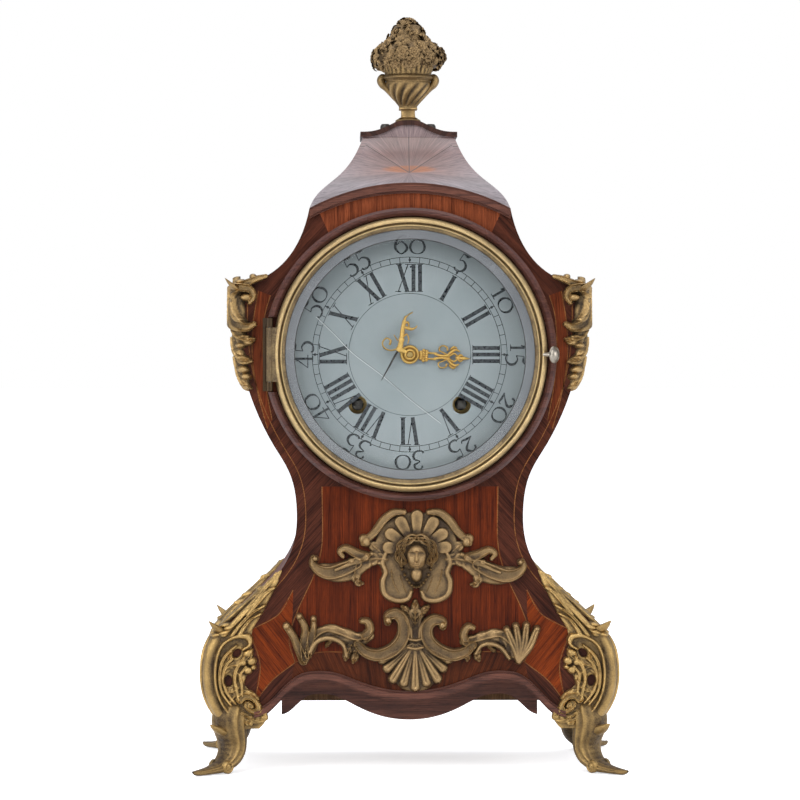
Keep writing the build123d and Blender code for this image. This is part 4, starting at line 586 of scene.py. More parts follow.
def enamel_white():
    """Slightly blue white enamel with faint waves in its glaze."""
    paint = Paint("enamel_white")
    place = paint.place()
    broad = paint.noise(place, 0.02, 3)
    specks = paint.noise(place, 0.7, 3)
    colour = paint.mix(paint.spread(broad, 0.3, 0.7), (0.2, 0.225, 0.232), (0.228, 0.25, 0.256))
    colour = paint.mix(paint.spread(specks, 0.24, 0.3, 0.25, 0.0), colour, (0.15, 0.15, 0.14))
    paint.bump(broad, 0.06, 0.001)
    return paint.set(color=colour, roughness=paint.spread(broad, 0.3, 0.7, 0.16, 0.24), coat=0.3)


def dial_black():
    """Fired black enamel paint, a little worn."""
    paint = Paint("dial_black")
    worn = paint.noise(paint.place(), 0.8, 3)
    colour = paint.mix(paint.spread(worn, 0.35, 0.8), (0.012, 0.013, 0.016), (0.06, 0.065, 0.07))
    return paint.set(color=colour, roughness=paint.spread(worn, 0.3, 0.7, 0.25, 0.4))


def clear_glass():
    """Clear glass with faint waves, which lets light through to what is behind it."""
    paint = Paint("clear_glass")
    waves = paint.noise(paint.place(), 0.03, 2)
    paint.bump(waves, 0.02, 0.001)
    paint.set(color=(0.97, 0.99, 0.985), roughness=0.01, transmission=1.0, ior=1.12)
    through = paint.node("BsdfTransparent")
    through.inputs["Color"].default_value = (0.95, 0.97, 0.965, 1)
    paint.choose("Is Shadow Ray", paint.shader, through, "Material Output")
    return paint.material


def bevel_glass():
    """The glass's bevelled edge, a part see-through sheet whose pale lilac grey is a painted reflection."""
    paint = Paint("bevel_glass")
    waves = paint.noise(paint.place(), 0.05, 3)
    paint.set(color=paint.mix(paint.spread(waves, 0.3, 0.7), (0.18, 0.185, 0.2), (0.23, 0.235, 0.245)),
              roughness=0.2, alpha=paint.spread(waves, 0.3, 0.7, 0.5, 0.62))
    return paint.material


def crack_line():
    """Grey in an old crack of the enamel."""
    paint = Paint("crack_line")
    soft = paint.noise(paint.place(), 0.4, 3)
    return paint.set(color=paint.mix(soft, (0.3, 0.32, 0.32), (0.42, 0.43, 0.42)), roughness=0.4)


# Dark and bright tones, roughness, share rubbed bright, and whether the piece carries its own wear
METALS = {
    "gilt_flower": ((0.05, 0.031, 0.016), (0.34, 0.228, 0.11), 0.38, 0.4, True),
    "gilt": ((0.055, 0.032, 0.013), (0.54, 0.355, 0.135), 0.3, 0.5, True),
    "gilt_dull": ((0.048, 0.029, 0.015), (0.4, 0.265, 0.125), 0.36, 0.45, True),
    "gilt_dark": ((0.04, 0.025, 0.012), (0.45, 0.3, 0.13), 0.34, 0.5, True),
    "bezel_gilt": ((0.085, 0.055, 0.027), (0.58, 0.425, 0.21), 0.3, 0.5, True),
    "hand_gilt": ((0.2, 0.11, 0.03), (0.68, 0.43, 0.13), 0.3, 0.6, True),
    "gilt_plain": ((0.16, 0.1, 0.04), (0.5, 0.35, 0.15), 0.3, 0.5, False),
    "old_brass": ((0.03, 0.019, 0.012), (0.1, 0.066, 0.036), 0.35, 0.45, False),
    "brass": ((0.36, 0.23, 0.075), (0.66, 0.47, 0.19), 0.25, 0.6, False),
    "bell_metal": ((0.28, 0.19, 0.08), (0.6, 0.46, 0.24), 0.24, 0.6, False),
    "steel": ((0.11, 0.10, 0.095), (0.36, 0.36, 0.37), 0.3, 0.5, False),
    "dark_steel": ((0.02, 0.018, 0.016), (0.12, 0.11, 0.1), 0.4, 0.4, False),
    "knob_metal": ((0.12, 0.1, 0.08), (0.42, 0.38, 0.32), 0.25, 0.6, False),
}
# Dark and light tones, then what differs from plain polished wood
WOODS = {
    "veneer": ((0.3, 0.24, 0.2), (1.6, 1.52, 1.4), {"uv": "grain", "tint": "tint"}),
    "side_veneer": (*SIDE_TONES, {"turn": (0, 0, 90)}),
    "carcase_wood": (*CARCASE_TONES, {"turn": (0, 90, 0), "gloss": 0.6, "coat": 0.0}),
    "moulding_wood": ((0.05, 0.019, 0.014), (0.15, 0.056, 0.036), {"specular": 0.2}),
    "surround_wood": ((0.045, 0.017, 0.014), (0.12, 0.045, 0.032), {"gloss": 0.22, "specular": 0.4}),
    "stringing_wood": ((0.12, 0.04, 0.012), (0.27, 0.105, 0.03), {}),
}
OTHERS = {"roof_veneer": roof_wood, "cap_wood": lambda: roof_wood("cap_wood", edge=True),
          "edged_wood": edged_wood, "bevel_glass": bevel_glass, "crack_line": crack_line,
          "enamel": enamel_white, "dial_black": dial_black, "glass": clear_glass}
FINISHES = {}


def finish(name):
    """A finish by its name, made when it is first asked for."""
    if name not in FINISHES:
        if name in METALS:
            FINISHES[name] = metal(name, *METALS[name])
        elif name in WOODS:
            dark, light, options = WOODS[name]
            FINISHES[name] = wood(name, dark, light, **options)
        else:
            FINISHES[name] = OTHERS[name]()
    return FINISHES[name]


# The case's own lines

def panel_outline():
    """The front panel's outer edge as (x, z) points: the widest loop round its front face."""
    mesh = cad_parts["front_panel"].data
    corners = [(round(v.co.x / MM, 2), round(v.co.z / MM, 2), abs(v.co.y / MM - FRONT_Y) < 0.01)
               for v in mesh.vertices]
    edges = {}
    for polygon in mesh.polygons:
        if all(corners[i][2] for i in polygon.vertices):
            ring = [corners[i][:2] for i in polygon.vertices]
            for a, b in zip(ring, ring[1:] + ring[:1]):
                edges[a, b] = True
    rim = {a: b for a, b in edges if (b, a) not in edges}
    loops = []
    while rim:
        start = next(iter(rim))
        loop = [start]
        step = rim.pop(start)
        while step != start:
            loop.append(step)
            step = rim.pop(step)
        loops.append(loop)
    return np.array(max(loops, key=lambda loop: max(abs(x) for x, z in loop)))


OUTLINE = panel_outline()


def outline_table():
    """Heights up the case and its half width at each."""
    heights = np.arange(36.25, 377, 0.5)
    x, z = OUTLINE[:, 0], OUTLINE[:, 1]
    next_x, next_z = np.roll(x, -1), np.roll(z, -1)
    widths = []
    for height in heights:
        crossed = (z - height) * (next_z - height) <= 0
        crossed &= z != next_z
        share = (height - z[crossed]) / (next_z - z)[crossed]
        widths.append(np.max(x[crossed] + share * (next_x - x)[crossed]))
    return heights, np.array(widths)


HEIGHTS, WIDTHS = outline_table()


def half_width(z):
    """The case's half width at a height."""
    return np.interp(z, HEIGHTS, WIDTHS)


def dial_y(radius):
    """The enamel's face at a distance from the dial's centre."""
    return DIAL_RIM_Y - DIAL_DOME * (1 - (np.asarray(radius) / DIAL_RADIUS) ** 2)


# Veneer

FIELD = [(-58.7, 191.5), (-58.7, 153.4), (-64, 132.8), (-74.7, 109.4), (-80.7, 90), (-76.7, 74),
         (-61.4, 80.7), (-34, 80), (0, 75.4)]
DIAMOND = [(-78, 122.4), (-88, 106), (-107.4, 95.4), (-100, 72), (-104, 46.7), (-92, 62), (-76.7, 74),
           (-80.7, 90), (-78.3, 105)]
UPPER = [(-62, 377.5), (-54, 360), (-30, 352), (30, 352), (54, 360), (62, 377.5), (36, 388), (0, 393),
         (-36, 388)]
STRIP = [(-101, 322), (-104.5, 300), (-105, 276), (-101, 252), (-95, 230), (-92, 236), (-96, 258), (-98, 280),
         (-97, 304), (-93, 319)]
VENEER_THICK = 0.45
STRING_LIFT = 0.5
STRING_HALF = 0.3
OPENING_RADIUS = 97.0
EDGE_LINE_INSET, EDGE_LINE_HEIGHTS = 6.0, (62, 318)
SHEET_HALF, SHEET_LOW, SHEET_HIGH = 140, 30, 400
BORDER_ANGLE, DIAMOND_ANGLE, STRIP_LEAN = 48, 52, 4
BAND_FOOT, BAND_SPREAD = 34, 1.12
# Each laid piece takes its grain from another part of the figure
GRAIN_SHIFT = (37, 53)
FIELD_TINT = (0.098, 0.016, 0.0025)
DIAMOND_TINT = (0.15, 0.026, 0.003)
BORDER_TINT = (0.06, 0.017, 0.009)
BAND_TINT = (0.082, 0.02, 0.006)
UPPER_TINT = (0.19, 0.048, 0.018)
STRIP_TINT = (0.13, 0.028, 0.008)


def mirrored(points):
    """The same points on the other side of the case."""
    return [(-x, z) for x, z in points]


def runs_anticlockwise(points):
    """Whether a closed outline runs anticlockwise as the viewer sees it."""
    return sum(a[0] * b[1] - b[0] * a[1] for a, b in zip(points, points[1:] + points[:1])) > 0


def veneer_regions():
    """Each laid piece of veneer: outline, grain angle in degrees and tint. Later ones lie over earlier."""
    field = FIELD + mirrored(FIELD[:-1])[::-1]
    regions = [([tuple(p) for p in OUTLINE], 0, BORDER_TINT)]
    for sign in (-1, 1):
        half = [(0, SHEET_LOW), (sign * SHEET_HALF, SHEET_LOW), (sign * SHEET_HALF, SHEET_HIGH),
                (0, SHEET_HIGH)]
        regions.append((half[::sign], -sign * BORDER_ANGLE, BORDER_TINT))
    floor = FIELD[5:] + mirrored(FIELD[5:-1])[::-1]
    for (ax, az), (bx, bz) in zip(floor, floor[1:]):
        middle = (ax + bx) / 2
        low = [(ax * BAND_SPREAD, BAND_FOOT), (bx * BAND_SPREAD, BAND_FOOT), (bx, bz), (ax, az)]
        shade = 0.9 + 0.2 * ((abs(int(middle)) // 20) % 2)
        regions.append((low, 90 - middle * 0.5, tuple(c * shade for c in BAND_TINT)))
    regions.append((UPPER, 90, UPPER_TINT))
    regions.append((STRIP, 90 - STRIP_LEAN, STRIP_TINT))
    regions.append((mirrored(STRIP)[::-1], 90 + STRIP_LEAN, STRIP_TINT))
    regions.append((field[::-1], 90, FIELD_TINT))
    regions.append((DIAMOND, -DIAMOND_ANGLE, DIAMOND_TINT))
    regions.append((mirrored(DIAMOND)[::-1], DIAMOND_ANGLE, DIAMOND_TINT))
    return [(points if runs_anticlockwise(points) else points[::-1], angle, tint)
            for points, angle, tint in regions]


def make_veneer():
    """The front's veneer as one sheet, cut along its laid pieces, each with its own grain and tint."""
    regions = veneer_regions()
    ring = [(OPENING_RADIUS * math.sin(a), DIAL_Z + OPENING_RADIUS * math.cos(a))
            for a in np.linspace(2 * math.pi, 0, 120, endpoint=False)]
    verts, faces = [], []
    for points, _, _ in regions:
        faces.append(list(range(len(verts), len(verts) + len(points))))
        verts += points
    faces.append(list(range(len(verts), len(verts) + len(ring))))
    verts += ring
    from_cdt = delaunay_2d_cdt([tuple(map(float, v)) for v in verts], [], faces, 1, 0.0001)
    flat, triangles, sources = from_cdt[0], from_cdt[2], from_cdt[5]
    kept, regions_of = [], []
    for triangle, owners in zip(triangles, sources):
        if 0 in owners and len(regions) not in owners:
            kept.append(triangle)
            regions_of.append(max(o for o in owners if o < len(regions)))
    front = FRONT_Y - VENEER_THICK
    points = [(p[0], front, p[1]) for p in flat]
    known = {(t[i], t[(i + 1) % 3]) for t in kept for i in range(3)}
    rim = [pair for pair in known if pair[::-1] not in known]
    lower = {i: len(points) + k for k, i in enumerate(sorted({e for pair in rim for e in pair}))}
    points += [(flat[i][0], FRONT_Y, flat[i][1]) for i in sorted(lower)]
    # The CDT's triangles run anticlockwise in (x, z), which faces the viewer in front
    faces = [tuple(t) for t in kept] + [(b, a, lower[a], lower[b]) for a, b in rim]
    regions_of += [0] * len(rim)
    made = piece("front_veneer", points, faces, finish("veneer"), slot="front_veneer", sharp=30)
    made.data.uv_layers.new(name="grain")
    made.data.color_attributes.new("tint", "FLOAT_COLOR", "CORNER")
    grain = made.data.uv_layers["grain"]
    tints = made.data.color_attributes["tint"]
    for polygon, region in zip(made.data.polygons, regions_of):
        _, angle, tint = regions[region]
        c, s = math.cos(math.radians(angle)), math.sin(math.radians(angle))
        for loop in polygon.loop_indices:
            x, _, z = points[made.data.loops[loop].vertex_index]
            grain.data[loop].uv = (x * c + z * s + GRAIN_SHIFT[0] * region,
                                   z * c - x * s + GRAIN_SHIFT[1] * region)
            tints.data[loop].color = (*tint, 1)


def strip_edges(path, half):
    """The two edges of a strip along a flat path."""
    way = np.gradient(path, axis=0)
    way /= np.maximum(np.hypot(way[:, 0], way[:, 1]), 1e-9)[:, None]
    across = np.stack([-way[:, 1], way[:, 0]], axis=1) * np.reshape(half, (-1, 1))
    return path + across, path - across


def ribbon(path):
    """A thin flat line of wood along a path in the front plane."""
    front = np.full(len(path), FRONT_Y - STRING_LIFT)
    edges = strip_edges(path, STRING_HALF)
    return np.stack([np.column_stack([edge[:, 0], front, edge[:, 1]]) for edge in edges], axis=1)


def make_stringing():
    """The thin light lines along the laid pieces and up the case's edges."""
    lines = Bundle()
    heights = np.linspace(*EDGE_LINE_HEIGHTS, 120)
    for sign in (-1, 1):
        side, cusp, strip = ([(turn * x, z) for x, z in points] for points, turn in (
            (FIELD, sign), (DIAMOND, sign), (STRIP, -sign)))
        edge = np.stack([sign * (half_width(heights) - EDGE_LINE_INSET), heights], axis=1)
        paths = [spline(run, 8) for run in (side[:6], side[5:], cusp[0:3], cusp[2:5], cusp[4:7])]
        paths += [edge] + [spline(run, 8) for run in (strip[:5], strip[5:])]
        for path in paths:
            lines.sheet(ribbon(path), flip=sign > 0)
    lines.piece("stringing", finish("stringing_wood"), slot="front_veneer")


# Dial

ROMAN = ("XII", "I", "II", "III", "IIII", "V", "VI", "VII", "VIII", "IX", "X", "XI")
NUMERAL_WIDTHS = {"I": 4.4, "V": 9.0, "X": 9.4}
NUMERAL_FOOT, NUMERAL_TOP = 42.0, 60.6
THICK, THIN, SERIF = 1.3, 0.32, 0.25
INNER_RING = 40.9
MINUTE_INNER, MINUTE_OUTER = 61.5, 65.3
HOUR_SPOT, HOUR_SPOT_SIZE = 63.4, 0.9
SPECK, SPECK_SIZE = (0.7, 58.7), 0.7
# How far each layer of paint stands off the enamel
PAINT_LIFT, SERIF_LIFT, CRACK_LIFT, TOP_LIFT = 0.12, 0.16, 0.18, 0.2
# Strokes (across, up, half width) in a box 0.6 wide and 1 tall
DIGITS = {
    "0": [[(0.3, 0.99, 0.018), (0.1, 0.86, 0.04), (0.02, 0.5, 0.06), (0.1, 0.14, 0.04), (0.3, 0.01, 0.018),
           (0.5, 0.14, 0.04), (0.58, 0.5, 0.06), (0.5, 0.86, 0.04), (0.3, 0.99, 0.018)]],
    "1": [[(0.3, 0.0, 0.06), (0.3, 0.97, 0.06)], [(0.1, 0.8, 0.02), (0.3, 0.97, 0.05)],
          [(0.05, 0.02, 0.02), (0.55, 0.02, 0.02)], [(0.14, 0.97, 0.02), (0.37, 0.97, 0.02)]],
    "2": [[(0.08, 0.74, 0.06), (0.12, 0.9, 0.04), (0.3, 0.98, 0.025), (0.5, 0.83, 0.06), (0.46, 0.6, 0.06),
           (0.25, 0.28, 0.03), (0.04, 0.03, 0.025)],
          [(0.04, 0.05, 0.03), (0.3, 0.08, 0.055), (0.52, 0.04, 0.04), (0.59, 0.22, 0.018)]],
    "3": [[(0.07, 0.84, 0.05), (0.2, 0.98, 0.025), (0.44, 0.94, 0.04), (0.48, 0.78, 0.055),
           (0.22, 0.6, 0.022), (0.5, 0.48, 0.05), (0.55, 0.26, 0.06), (0.4, 0.05, 0.04), (0.15, 0.02, 0.03),
           (0.04, 0.14, 0.05)]],
    "4": [[(0.42, 0.0, 0.055), (0.42, 0.98, 0.055)], [(0.42, 0.98, 0.025), (0.02, 0.32, 0.02)],
          [(0.0, 0.3, 0.022), (0.6, 0.3, 0.022)], [(0.28, 0.02, 0.02), (0.56, 0.02, 0.02)]],
    "5": [[(0.54, 1.0, 0.025), (0.4, 0.95, 0.045), (0.14, 0.97, 0.025)],
          [(0.13, 0.97, 0.02), (0.1, 0.58, 0.02)],
          [(0.1, 0.59, 0.022), (0.3, 0.65, 0.035), (0.52, 0.48, 0.06), (0.53, 0.22, 0.06),
           (0.34, 0.03, 0.035), (0.12, 0.02, 0.03), (0.04, 0.14, 0.05)]],
    "6": [[(0.54, 0.92, 0.05), (0.42, 0.99, 0.025), (0.2, 0.86, 0.035), (0.06, 0.55, 0.06),
           (0.06, 0.28, 0.06), (0.3, 0.01, 0.025), (0.54, 0.22, 0.06), (0.54, 0.45, 0.055),
           (0.32, 0.66, 0.022), (0.1, 0.5, 0.022)]],
}
# Each digit's width, foot and top as shares of the plain digits' height, old style
DIGIT_BOXES = {"0": (1.12, 0, 1), "1": (0.6, 0, 1), "2": (0.95, 0, 1), "3": (0.85, -0.34, 1),
               "4": (0.95, -0.3, 1), "5": (0.85, -0.34, 1), "6": (0.98, 0, 1.32)}
DIGIT_HEIGHT = 9.2
DIGIT_FOOT = 67.4
DIGIT_GAP = 1.3
CRACK = ((-62.7, 25.3), (-50, 13), (-38, 0.7), (-18, -14.5), (0, -30), (20.7, -46))


def on_dial(across, out, hour_angle, lift):
    """A point on the enamel from its place across and outward at an angle clockwise from the top."""
    across, out = np.asarray(across, float), np.asarray(out, float)
    c, s = math.cos(hour_angle), math.sin(hour_angle)
    x = across * c + out * s
    z = out * c - across * s
    return np.stack([x, dial_y(np.hypot(x, z)) - lift, DIAL_Z + z], axis=-1)


def dial_strip(bundle, points, angle, lift=PAINT_LIFT):
    """A painted stroke from points (across, out, half width) at an angle clockwise from the top."""
    path = np.array(points, float)
    edges = strip_edges(path[:, :2], path[:, 2])
    bundle.sheet(np.stack([on_dial(*edge.T, angle, lift) for edge in edges], axis=1))


def dot(bundle, across, out, size, angle, lift):
    """A round spot of paint."""
    turns = np.linspace(0, 2 * math.pi, 13)
    bundle.sheet(np.array([on_dial(across + r * np.sin(turns), out + r * np.cos(turns), angle, lift)
                           for r in (size, 0)]))


def bar(start, end, half, steps=6):
    """Points of a straight stroke."""
    share = np.linspace(0, 1, steps)
    return [(start[0] + (end[0] - start[0]) * t, start[1] + (end[1] - start[1]) * t, half) for t in share]


def paint_roman(bundle, word, angle):
    """A Roman numeral with its feet to the centre."""
    foot, top = NUMERAL_FOOT, NUMERAL_TOP
    at = -sum(NUMERAL_WIDTHS[letter] for letter in word) / 2
    for letter in word:
        wide = NUMERAL_WIDTHS[letter]
        left, right, middle = at + 0.6, at + wide - 0.6, at + wide / 2
        if letter == "I":
            dial_strip(bundle, bar((middle, foot), (middle, top), THICK), angle)
            serifs = [(middle, foot), (middle, top)]
        elif letter == "V":
            dial_strip(bundle, bar((left + THICK, top), (middle + 0.3, foot), THICK), angle)
            dial_strip(bundle, bar((right - 0.6, top), (middle + 0.5, foot), THIN), angle)
            serifs = [(left + THICK, top), (right - 0.6, top)]
        else:
            dial_strip(bundle, bar((left + THICK, top), (right - THICK, foot), THICK), angle)
            dial_strip(bundle, bar((right - 0.8, top), (left + 0.8, foot), THIN), angle)
            serifs = [(left + THICK, top), (right - 0.8, top), (right - THICK, foot), (left + 0.8, foot)]
        for x, out in serifs:
            inward = SERIF if out == foot else -SERIF
            dial_strip(bundle, bar((x - 2.0, out + inward), (x + 2.0, out + inward), SERIF), angle,
                       SERIF_LIFT)
        at += wide


def ring_strip(bundle, radius, half, y=None):
    """A painted circle on the enamel, or at a given y."""
    turns = np.linspace(0, 2 * math.pi, 181)
    rings = []
    for r in (radius + half, radius - half):
        level = dial_y(r) - PAINT_LIFT if y is None else y
        rings.append(np.stack([r * np.sin(turns), np.full_like(turns, level), DIAL_Z + r * np.cos(turns)],
                              axis=1))
    bundle.sheet(np.array(rings))


def make_dial_marks():
    """Everything painted on the enamel, and its crack."""
    marks = Bundle()
    for index, word in enumerate(ROMAN):
        paint_roman(marks, word, math.radians(30 * index))
    for radius, half in ((INNER_RING, 0.16), (MINUTE_INNER, 0.2), (MINUTE_OUTER, 0.2)):
        ring_strip(marks, radius, half)
    for minute in range(60):
        angle = math.radians(6 * minute)
        half = 0.35 if minute % 5 == 0 else 0.2
        dial_strip(marks, bar((0, MINUTE_INNER), (0, MINUTE_OUTER), half, 3), angle)
        if minute % 5 == 0:
            dot(marks, 0, HOUR_SPOT, HOUR_SPOT_SIZE, angle, SERIF_LIFT)
    for index in range(12):
        word = str(5 * (index or 12))
        widths = [DIGIT_BOXES[letter][0] * DIGIT_HEIGHT for letter in word]
        start = -(sum(widths) + DIGIT_GAP * (len(word) - 1)) / 2
        for letter, wide in zip(word, widths):
            _, low, high = DIGIT_BOXES[letter]
            for run in DIGITS[letter]:
                path = spline(run, 10)
                up = low + (high - low) * path[:, 1]
                scaled = np.stack([start + path[:, 0] * wide / 0.6, DIGIT_FOOT + up * DIGIT_HEIGHT,
                                   path[:, 2] * DIGIT_HEIGHT * 1.5], axis=1)
                dial_strip(marks, scaled, math.radians(30 * index))
            start += wide + DIGIT_GAP
    dot(marks, *SPECK, SPECK_SIZE, 0, TOP_LIFT)
    crack = spline(CRACK, 6)
    dial_strip(marks, np.column_stack([crack + 0.3, np.full(len(crack), 0.09)]), 0, TOP_LIFT)
    marks.piece("dial_numerals", finish("dial_black"), slot="enamel", sharp=60)
    line = Bundle()
    dial_strip(line, np.column_stack([crack, np.full(len(crack), 0.22)]), 0, CRACK_LIFT)
    line.piece("dial_crack", finish("crack_line"), slot="enamel")


# Bezel and hands

BEZEL_PROFILE = ((91.6, -62.2), (91.6, -67.0), (91.2, -69.6), (90.2, -71.6), (88.9, -72.6), (87.9, -72.3),
                 (87.5, -71.2), (87.4, -69.8), (86.9, -69.8), (86.7, -71.0), (86.2, -71.7), (85.5, -71.6),
                 (85.05, -70.8), (84.9, -69.9), (84.2, -69.6), (83.5, -69.2), (83.2, -68.8), (83.2, -68.56),
                 (85.2, -68.56), (85.2, -62.2), (91.6, -62.2))
KNOB_PROFILE = ((1.6, 0), (1.6, 5.2), (2.6, 6.2), (5.4, 7.0), (5.9, 7.8), (5.5, 8.6), (4.6, 9.0), (4.2, 8.8),
                (3.2, 9.8), (1.8, 10.5), (0.1, 10.8))
KNOB_FOOT = (89.0, -71.2)
KNOB_LEAN = math.radians(55)
# The hinge knuckle's place, radius and half length, and where its web meets the ring
KNUCKLE = (-93.6, -71.0, 2.15, 18.0)
WEB_END = -88.0
BEVEL_INNER, BEVEL_OUTER = 76.9, 83.2
BEVEL_PROFILE = ((BEVEL_INNER, -68.62), (80, -68.66), (BEVEL_OUTER, -68.62))
# Where the rings of painted shade at the bevel's edges lie, just in front of it.
GLASS_SHADE_LINE_Y = -68.7
BEZEL_SEGMENTS = 240


def make_bezel_ring():
    """The turned ring with its hinge knuckle and web."""
    ring = Bundle()
    grid = turned(BEZEL_PROFILE, BEZEL_SEGMENTS)
    high = np.interp([y for _, y in BEZEL_PROFILE], (-72.6, -69.5), (0.95, 0.3))
    ring.sheet(grid, np.repeat(high[:, None], BEZEL_SEGMENTS, axis=1), wrap=True, flip=True)
    x, y, radius, half = KNUCKLE
    turns = circle(20)
    barrel = [np.stack([x + r * np.cos(turns), y + r * np.sin(turns), np.full_like(turns, DIAL_Z + z)],
                       axis=1)
              for r, z in ((0.7, -half), (radius - 0.3, -half), (radius, -half + 0.3), (radius, half - 0.3),
                           (radius - 0.3, half), (0.7, half))]
    ring.sheet(np.array(barrel), 0.0, wrap=True)
    corners = ((x, -half), (WEB_END, -half), (WEB_END, half), (x, half))
    web = [[(a, y + shift, DIAL_Z + b) for a, b in corners] for shift in (-1.0, 1.0)]
    ring.sheet(np.array(web), 0.0, wrap=True)
    for row in web:
        ring.add(row, [(0, 1, 2, 3)], 0.0)
    ring.piece("bezel_ring_turned", finish("bezel_gilt"), body="bezel", slot="gilt", replaces=("bezel_ring",),
               sharp=50)


def make_knob():
    """The turned pull knob, which leans out to the side."""
    axis = np.array((math.sin(KNOB_LEAN), -math.cos(KNOB_LEAN), 0.0))
    across = np.array((math.cos(KNOB_LEAN), math.sin(KNOB_LEAN), 0.0))
    turns = circle(32)
    knob = Bundle()
    rows = [np.array((*KNOB_FOOT, DIAL_Z)) + axis * out + radius * np.outer(np.cos(turns), across)
            + radius * np.outer(np.sin(turns), (0, 0, 1)) for radius, out in KNOB_PROFILE]
    knob.sheet(np.array(rows), 0.5, wrap=True)
    knob.piece("bezel_knob_turned", finish("knob_metal"), body="bezel", slot="knob_metal",
               replaces=("bezel_knob",))


def make_glass_edge():
    """The glass's bevel with its painted reflection, and dark rings of painted shade at both of its edges."""
    edge = Bundle()
    edge.sheet(turned(BEVEL_PROFILE, 160), wrap=True, flip=True)
    edge.piece("glass_bevel", finish("bevel_glass"), body="bezel", slot="glass")
    # Painted shade: dark rings at the bevel's inner and outer edges, for the bezel's shadow on the dial and
    # the dark line at its sight edge; they take the dark steel finish.
    lines = Bundle()
    for radius in (BEVEL_INNER, BEVEL_OUTER - 0.1):
        ring_strip(lines, radius, 0.22, y=GLASS_SHADE_LINE_Y)
    lines.piece("glass_edge_lines", finish("dark_steel"), body="bezel", slot="glass")


def hand_place(back):
    """A hand that turns about the dial's centre, with its back at a given y."""
    def place(u, v, height):
        return u, back - height, v + DIAL_Z
    return place


def ring_points(radius, half, count=16):
    """A closed ring about the dial's centre for a strap."""
    return [(radius * math.cos(2 * math.pi * i / count), radius * math.sin(2 * math.pi * i / count), half)
            for i in range(count + 1)]


HAND_CELL, HAND_EDGE, TAIL_EDGE = 0.17, 0.25, 0.2
HOUR_BACK, MINUTE_BACK, TAIL_BACK = -55.6, -58.2, -58.1
HOUR_LEAN = math.radians(-4.0)
HOUR_STROKES = (
    ((12, 2.0, 0.7), (17.5, 2.0, 0.7)),
    ((17, 1.4, 0.9), (21, 0.8, 0.9), (26, 0.8, 1.0)),
    ((26, 1, 0.6), (23, 2.6, 0.5), (19.6, 4.2, 0.5), (20, 6.6, 0.5), (22.4, 7.4, 0.5), (24.6, 6.4, 0.6),
     (25, 4.8, 0.7)),
    ((25, 1, 0.8), (28, 4, 1.0), (30.6, 5.2, 0.9), (33, 4.4, 0.5)),
    ((27, 5.4, 0.7), (29, 7.0, 0.8), (31, 6.6, 0.4)),
    ((26, 0.6, 0.7), (29.5, 2.6, 0.7), (32, 1.0, 0.6)),
    ((32, 0.4, 0.7), (33.6, 2.0, 0.8), (35.4, 1.6, 0.4)),
)
MINUTE_STROKES = (
    ((-2.5, 1.6, 1.3), (-7.1, 3.7, 2.2)),
    ((-6.6, 4.5, 2.0), (-5.6, 9.9, 1.6), (-5.0, 15.6, 1.5), (-3.9, 21.5, 1.3), (-2.9, 25.6, 0.5)),
    ((-4.6, 18.6, 0.8), (-1.5, 17.6, 1.2), (1.4, 17.0, 0.9), (3.9, 18.0, 0.5), (4.6, 19.2, 0.35)),
    ((-3.4, 23.6, 0.5), (-1.2, 26.4, 0.45), (1.6, 28.1, 0.4)),
    ((-4, 21, 0.6), (-1.4, 21.4, 0.8), (-0.6, 19, 0.5)),
    ((-5.4, 11, 0.7), (-2.2, 13.6, 0.6), (-0.8, 10.4, 0.5), (-1.4, 7.6, 0.4)),
    ((-9.0, 3.6, 0.6), (-13.0, 2.8, 0.5), (-17.0, 4.4, 0.5), (-18.3, 8.0, 0.5), (-16.0, 10.9, 0.5),
     (-12.9, 9.6, 0.6), (-13.4, 7.0, 0.8)),
    ((-8.2, 9.4, 0.35), (-10.6, 13.0, 0.3)),
)


def make_hands():
    """The pierced hour hand, the broken minute hand and its steel tail."""
    hour = Relief((-8, -13), (43, 10), HAND_CELL)
    c, s = math.cos(HOUR_LEAN), math.sin(HOUR_LEAN)

    def lean(points, sign=1):
        return [(u * c - sign * v * s, u * s + sign * v * c, w) for u, v, w in points]

    hour.stroke(ring_points(5.3, 1.1), 0.8, rounded, steps=3)
    hour.stroke(ring_points(3.6, 0.7), 1.1, rounded, steps=3)
    for u, half in ((7.4, 2.2), (9.2, 3.4), (11.2, 2.9)):
        for v in np.linspace(-half, half, 5):
            (x, z, _), = lean([(u, v, 0)])
            hour.dome(x, z, 1.2, 1.1, 0.9)
    for points in HOUR_STROKES:
        for sign in (1, -1):
            hour.stroke(lean(points, sign), 0.8, rounded, steps=6)
    hour.stroke(lean([(31, 0, 0.7), (34, 0, 1.0), (36.5, 0, 1.2), (40.3, 0, 0.2)]), 0.9, rounded, steps=6)
    hour.bundle(hand_place(HOUR_BACK), HAND_EDGE, back=0.0).piece(
        "hour_hand_cast", finish("hand_gilt"), body="hour", slot="gilt", replaces=("hour_hand",))
    minute = Relief((-21, -6), (8, 30), HAND_CELL)
    minute.stroke(ring_points(2.9, 0.9), 0.9, rounded, steps=3)
    for points in MINUTE_STROKES:
        minute.stroke(points, 0.9, rounded, steps=6)
    minute.dome(-5.6, 9.9, 2.0, 2.3, 1.1)
    minute.bundle(hand_place(MINUTE_BACK), HAND_EDGE, back=0.0).piece(
        "minute_hand_cast", finish("hand_gilt"), body="minute", slot="gilt", replaces=("minute_hand",))
    tail = Relief((-21, -20), (-2, 6), HAND_CELL)
    tail.stroke([(-6.4, 4.6, 0.75), (-9, 0.9, 0.7), (-14, -8.2, 0.55), (-19, -17.2, 0.2)], 0.7, rounded)
    tail.bundle(hand_place(TAIL_BACK), TAIL_EDGE, back=0.0).piece(
        "minute_hand_tail", finish("dark_steel"), body="minute", slot="gilt")


# Gilt castings

MOUNT_CELL, MOUNT_EDGE = 0.34, 1.3
CORNER_CELL, CORNER_EDGE = 0.42, 1.9
FOOT_BEND, SHOULDER_BEND = 4.5, 6.5
SHOULDER_TOP = 322.0
CORNER_X = 125


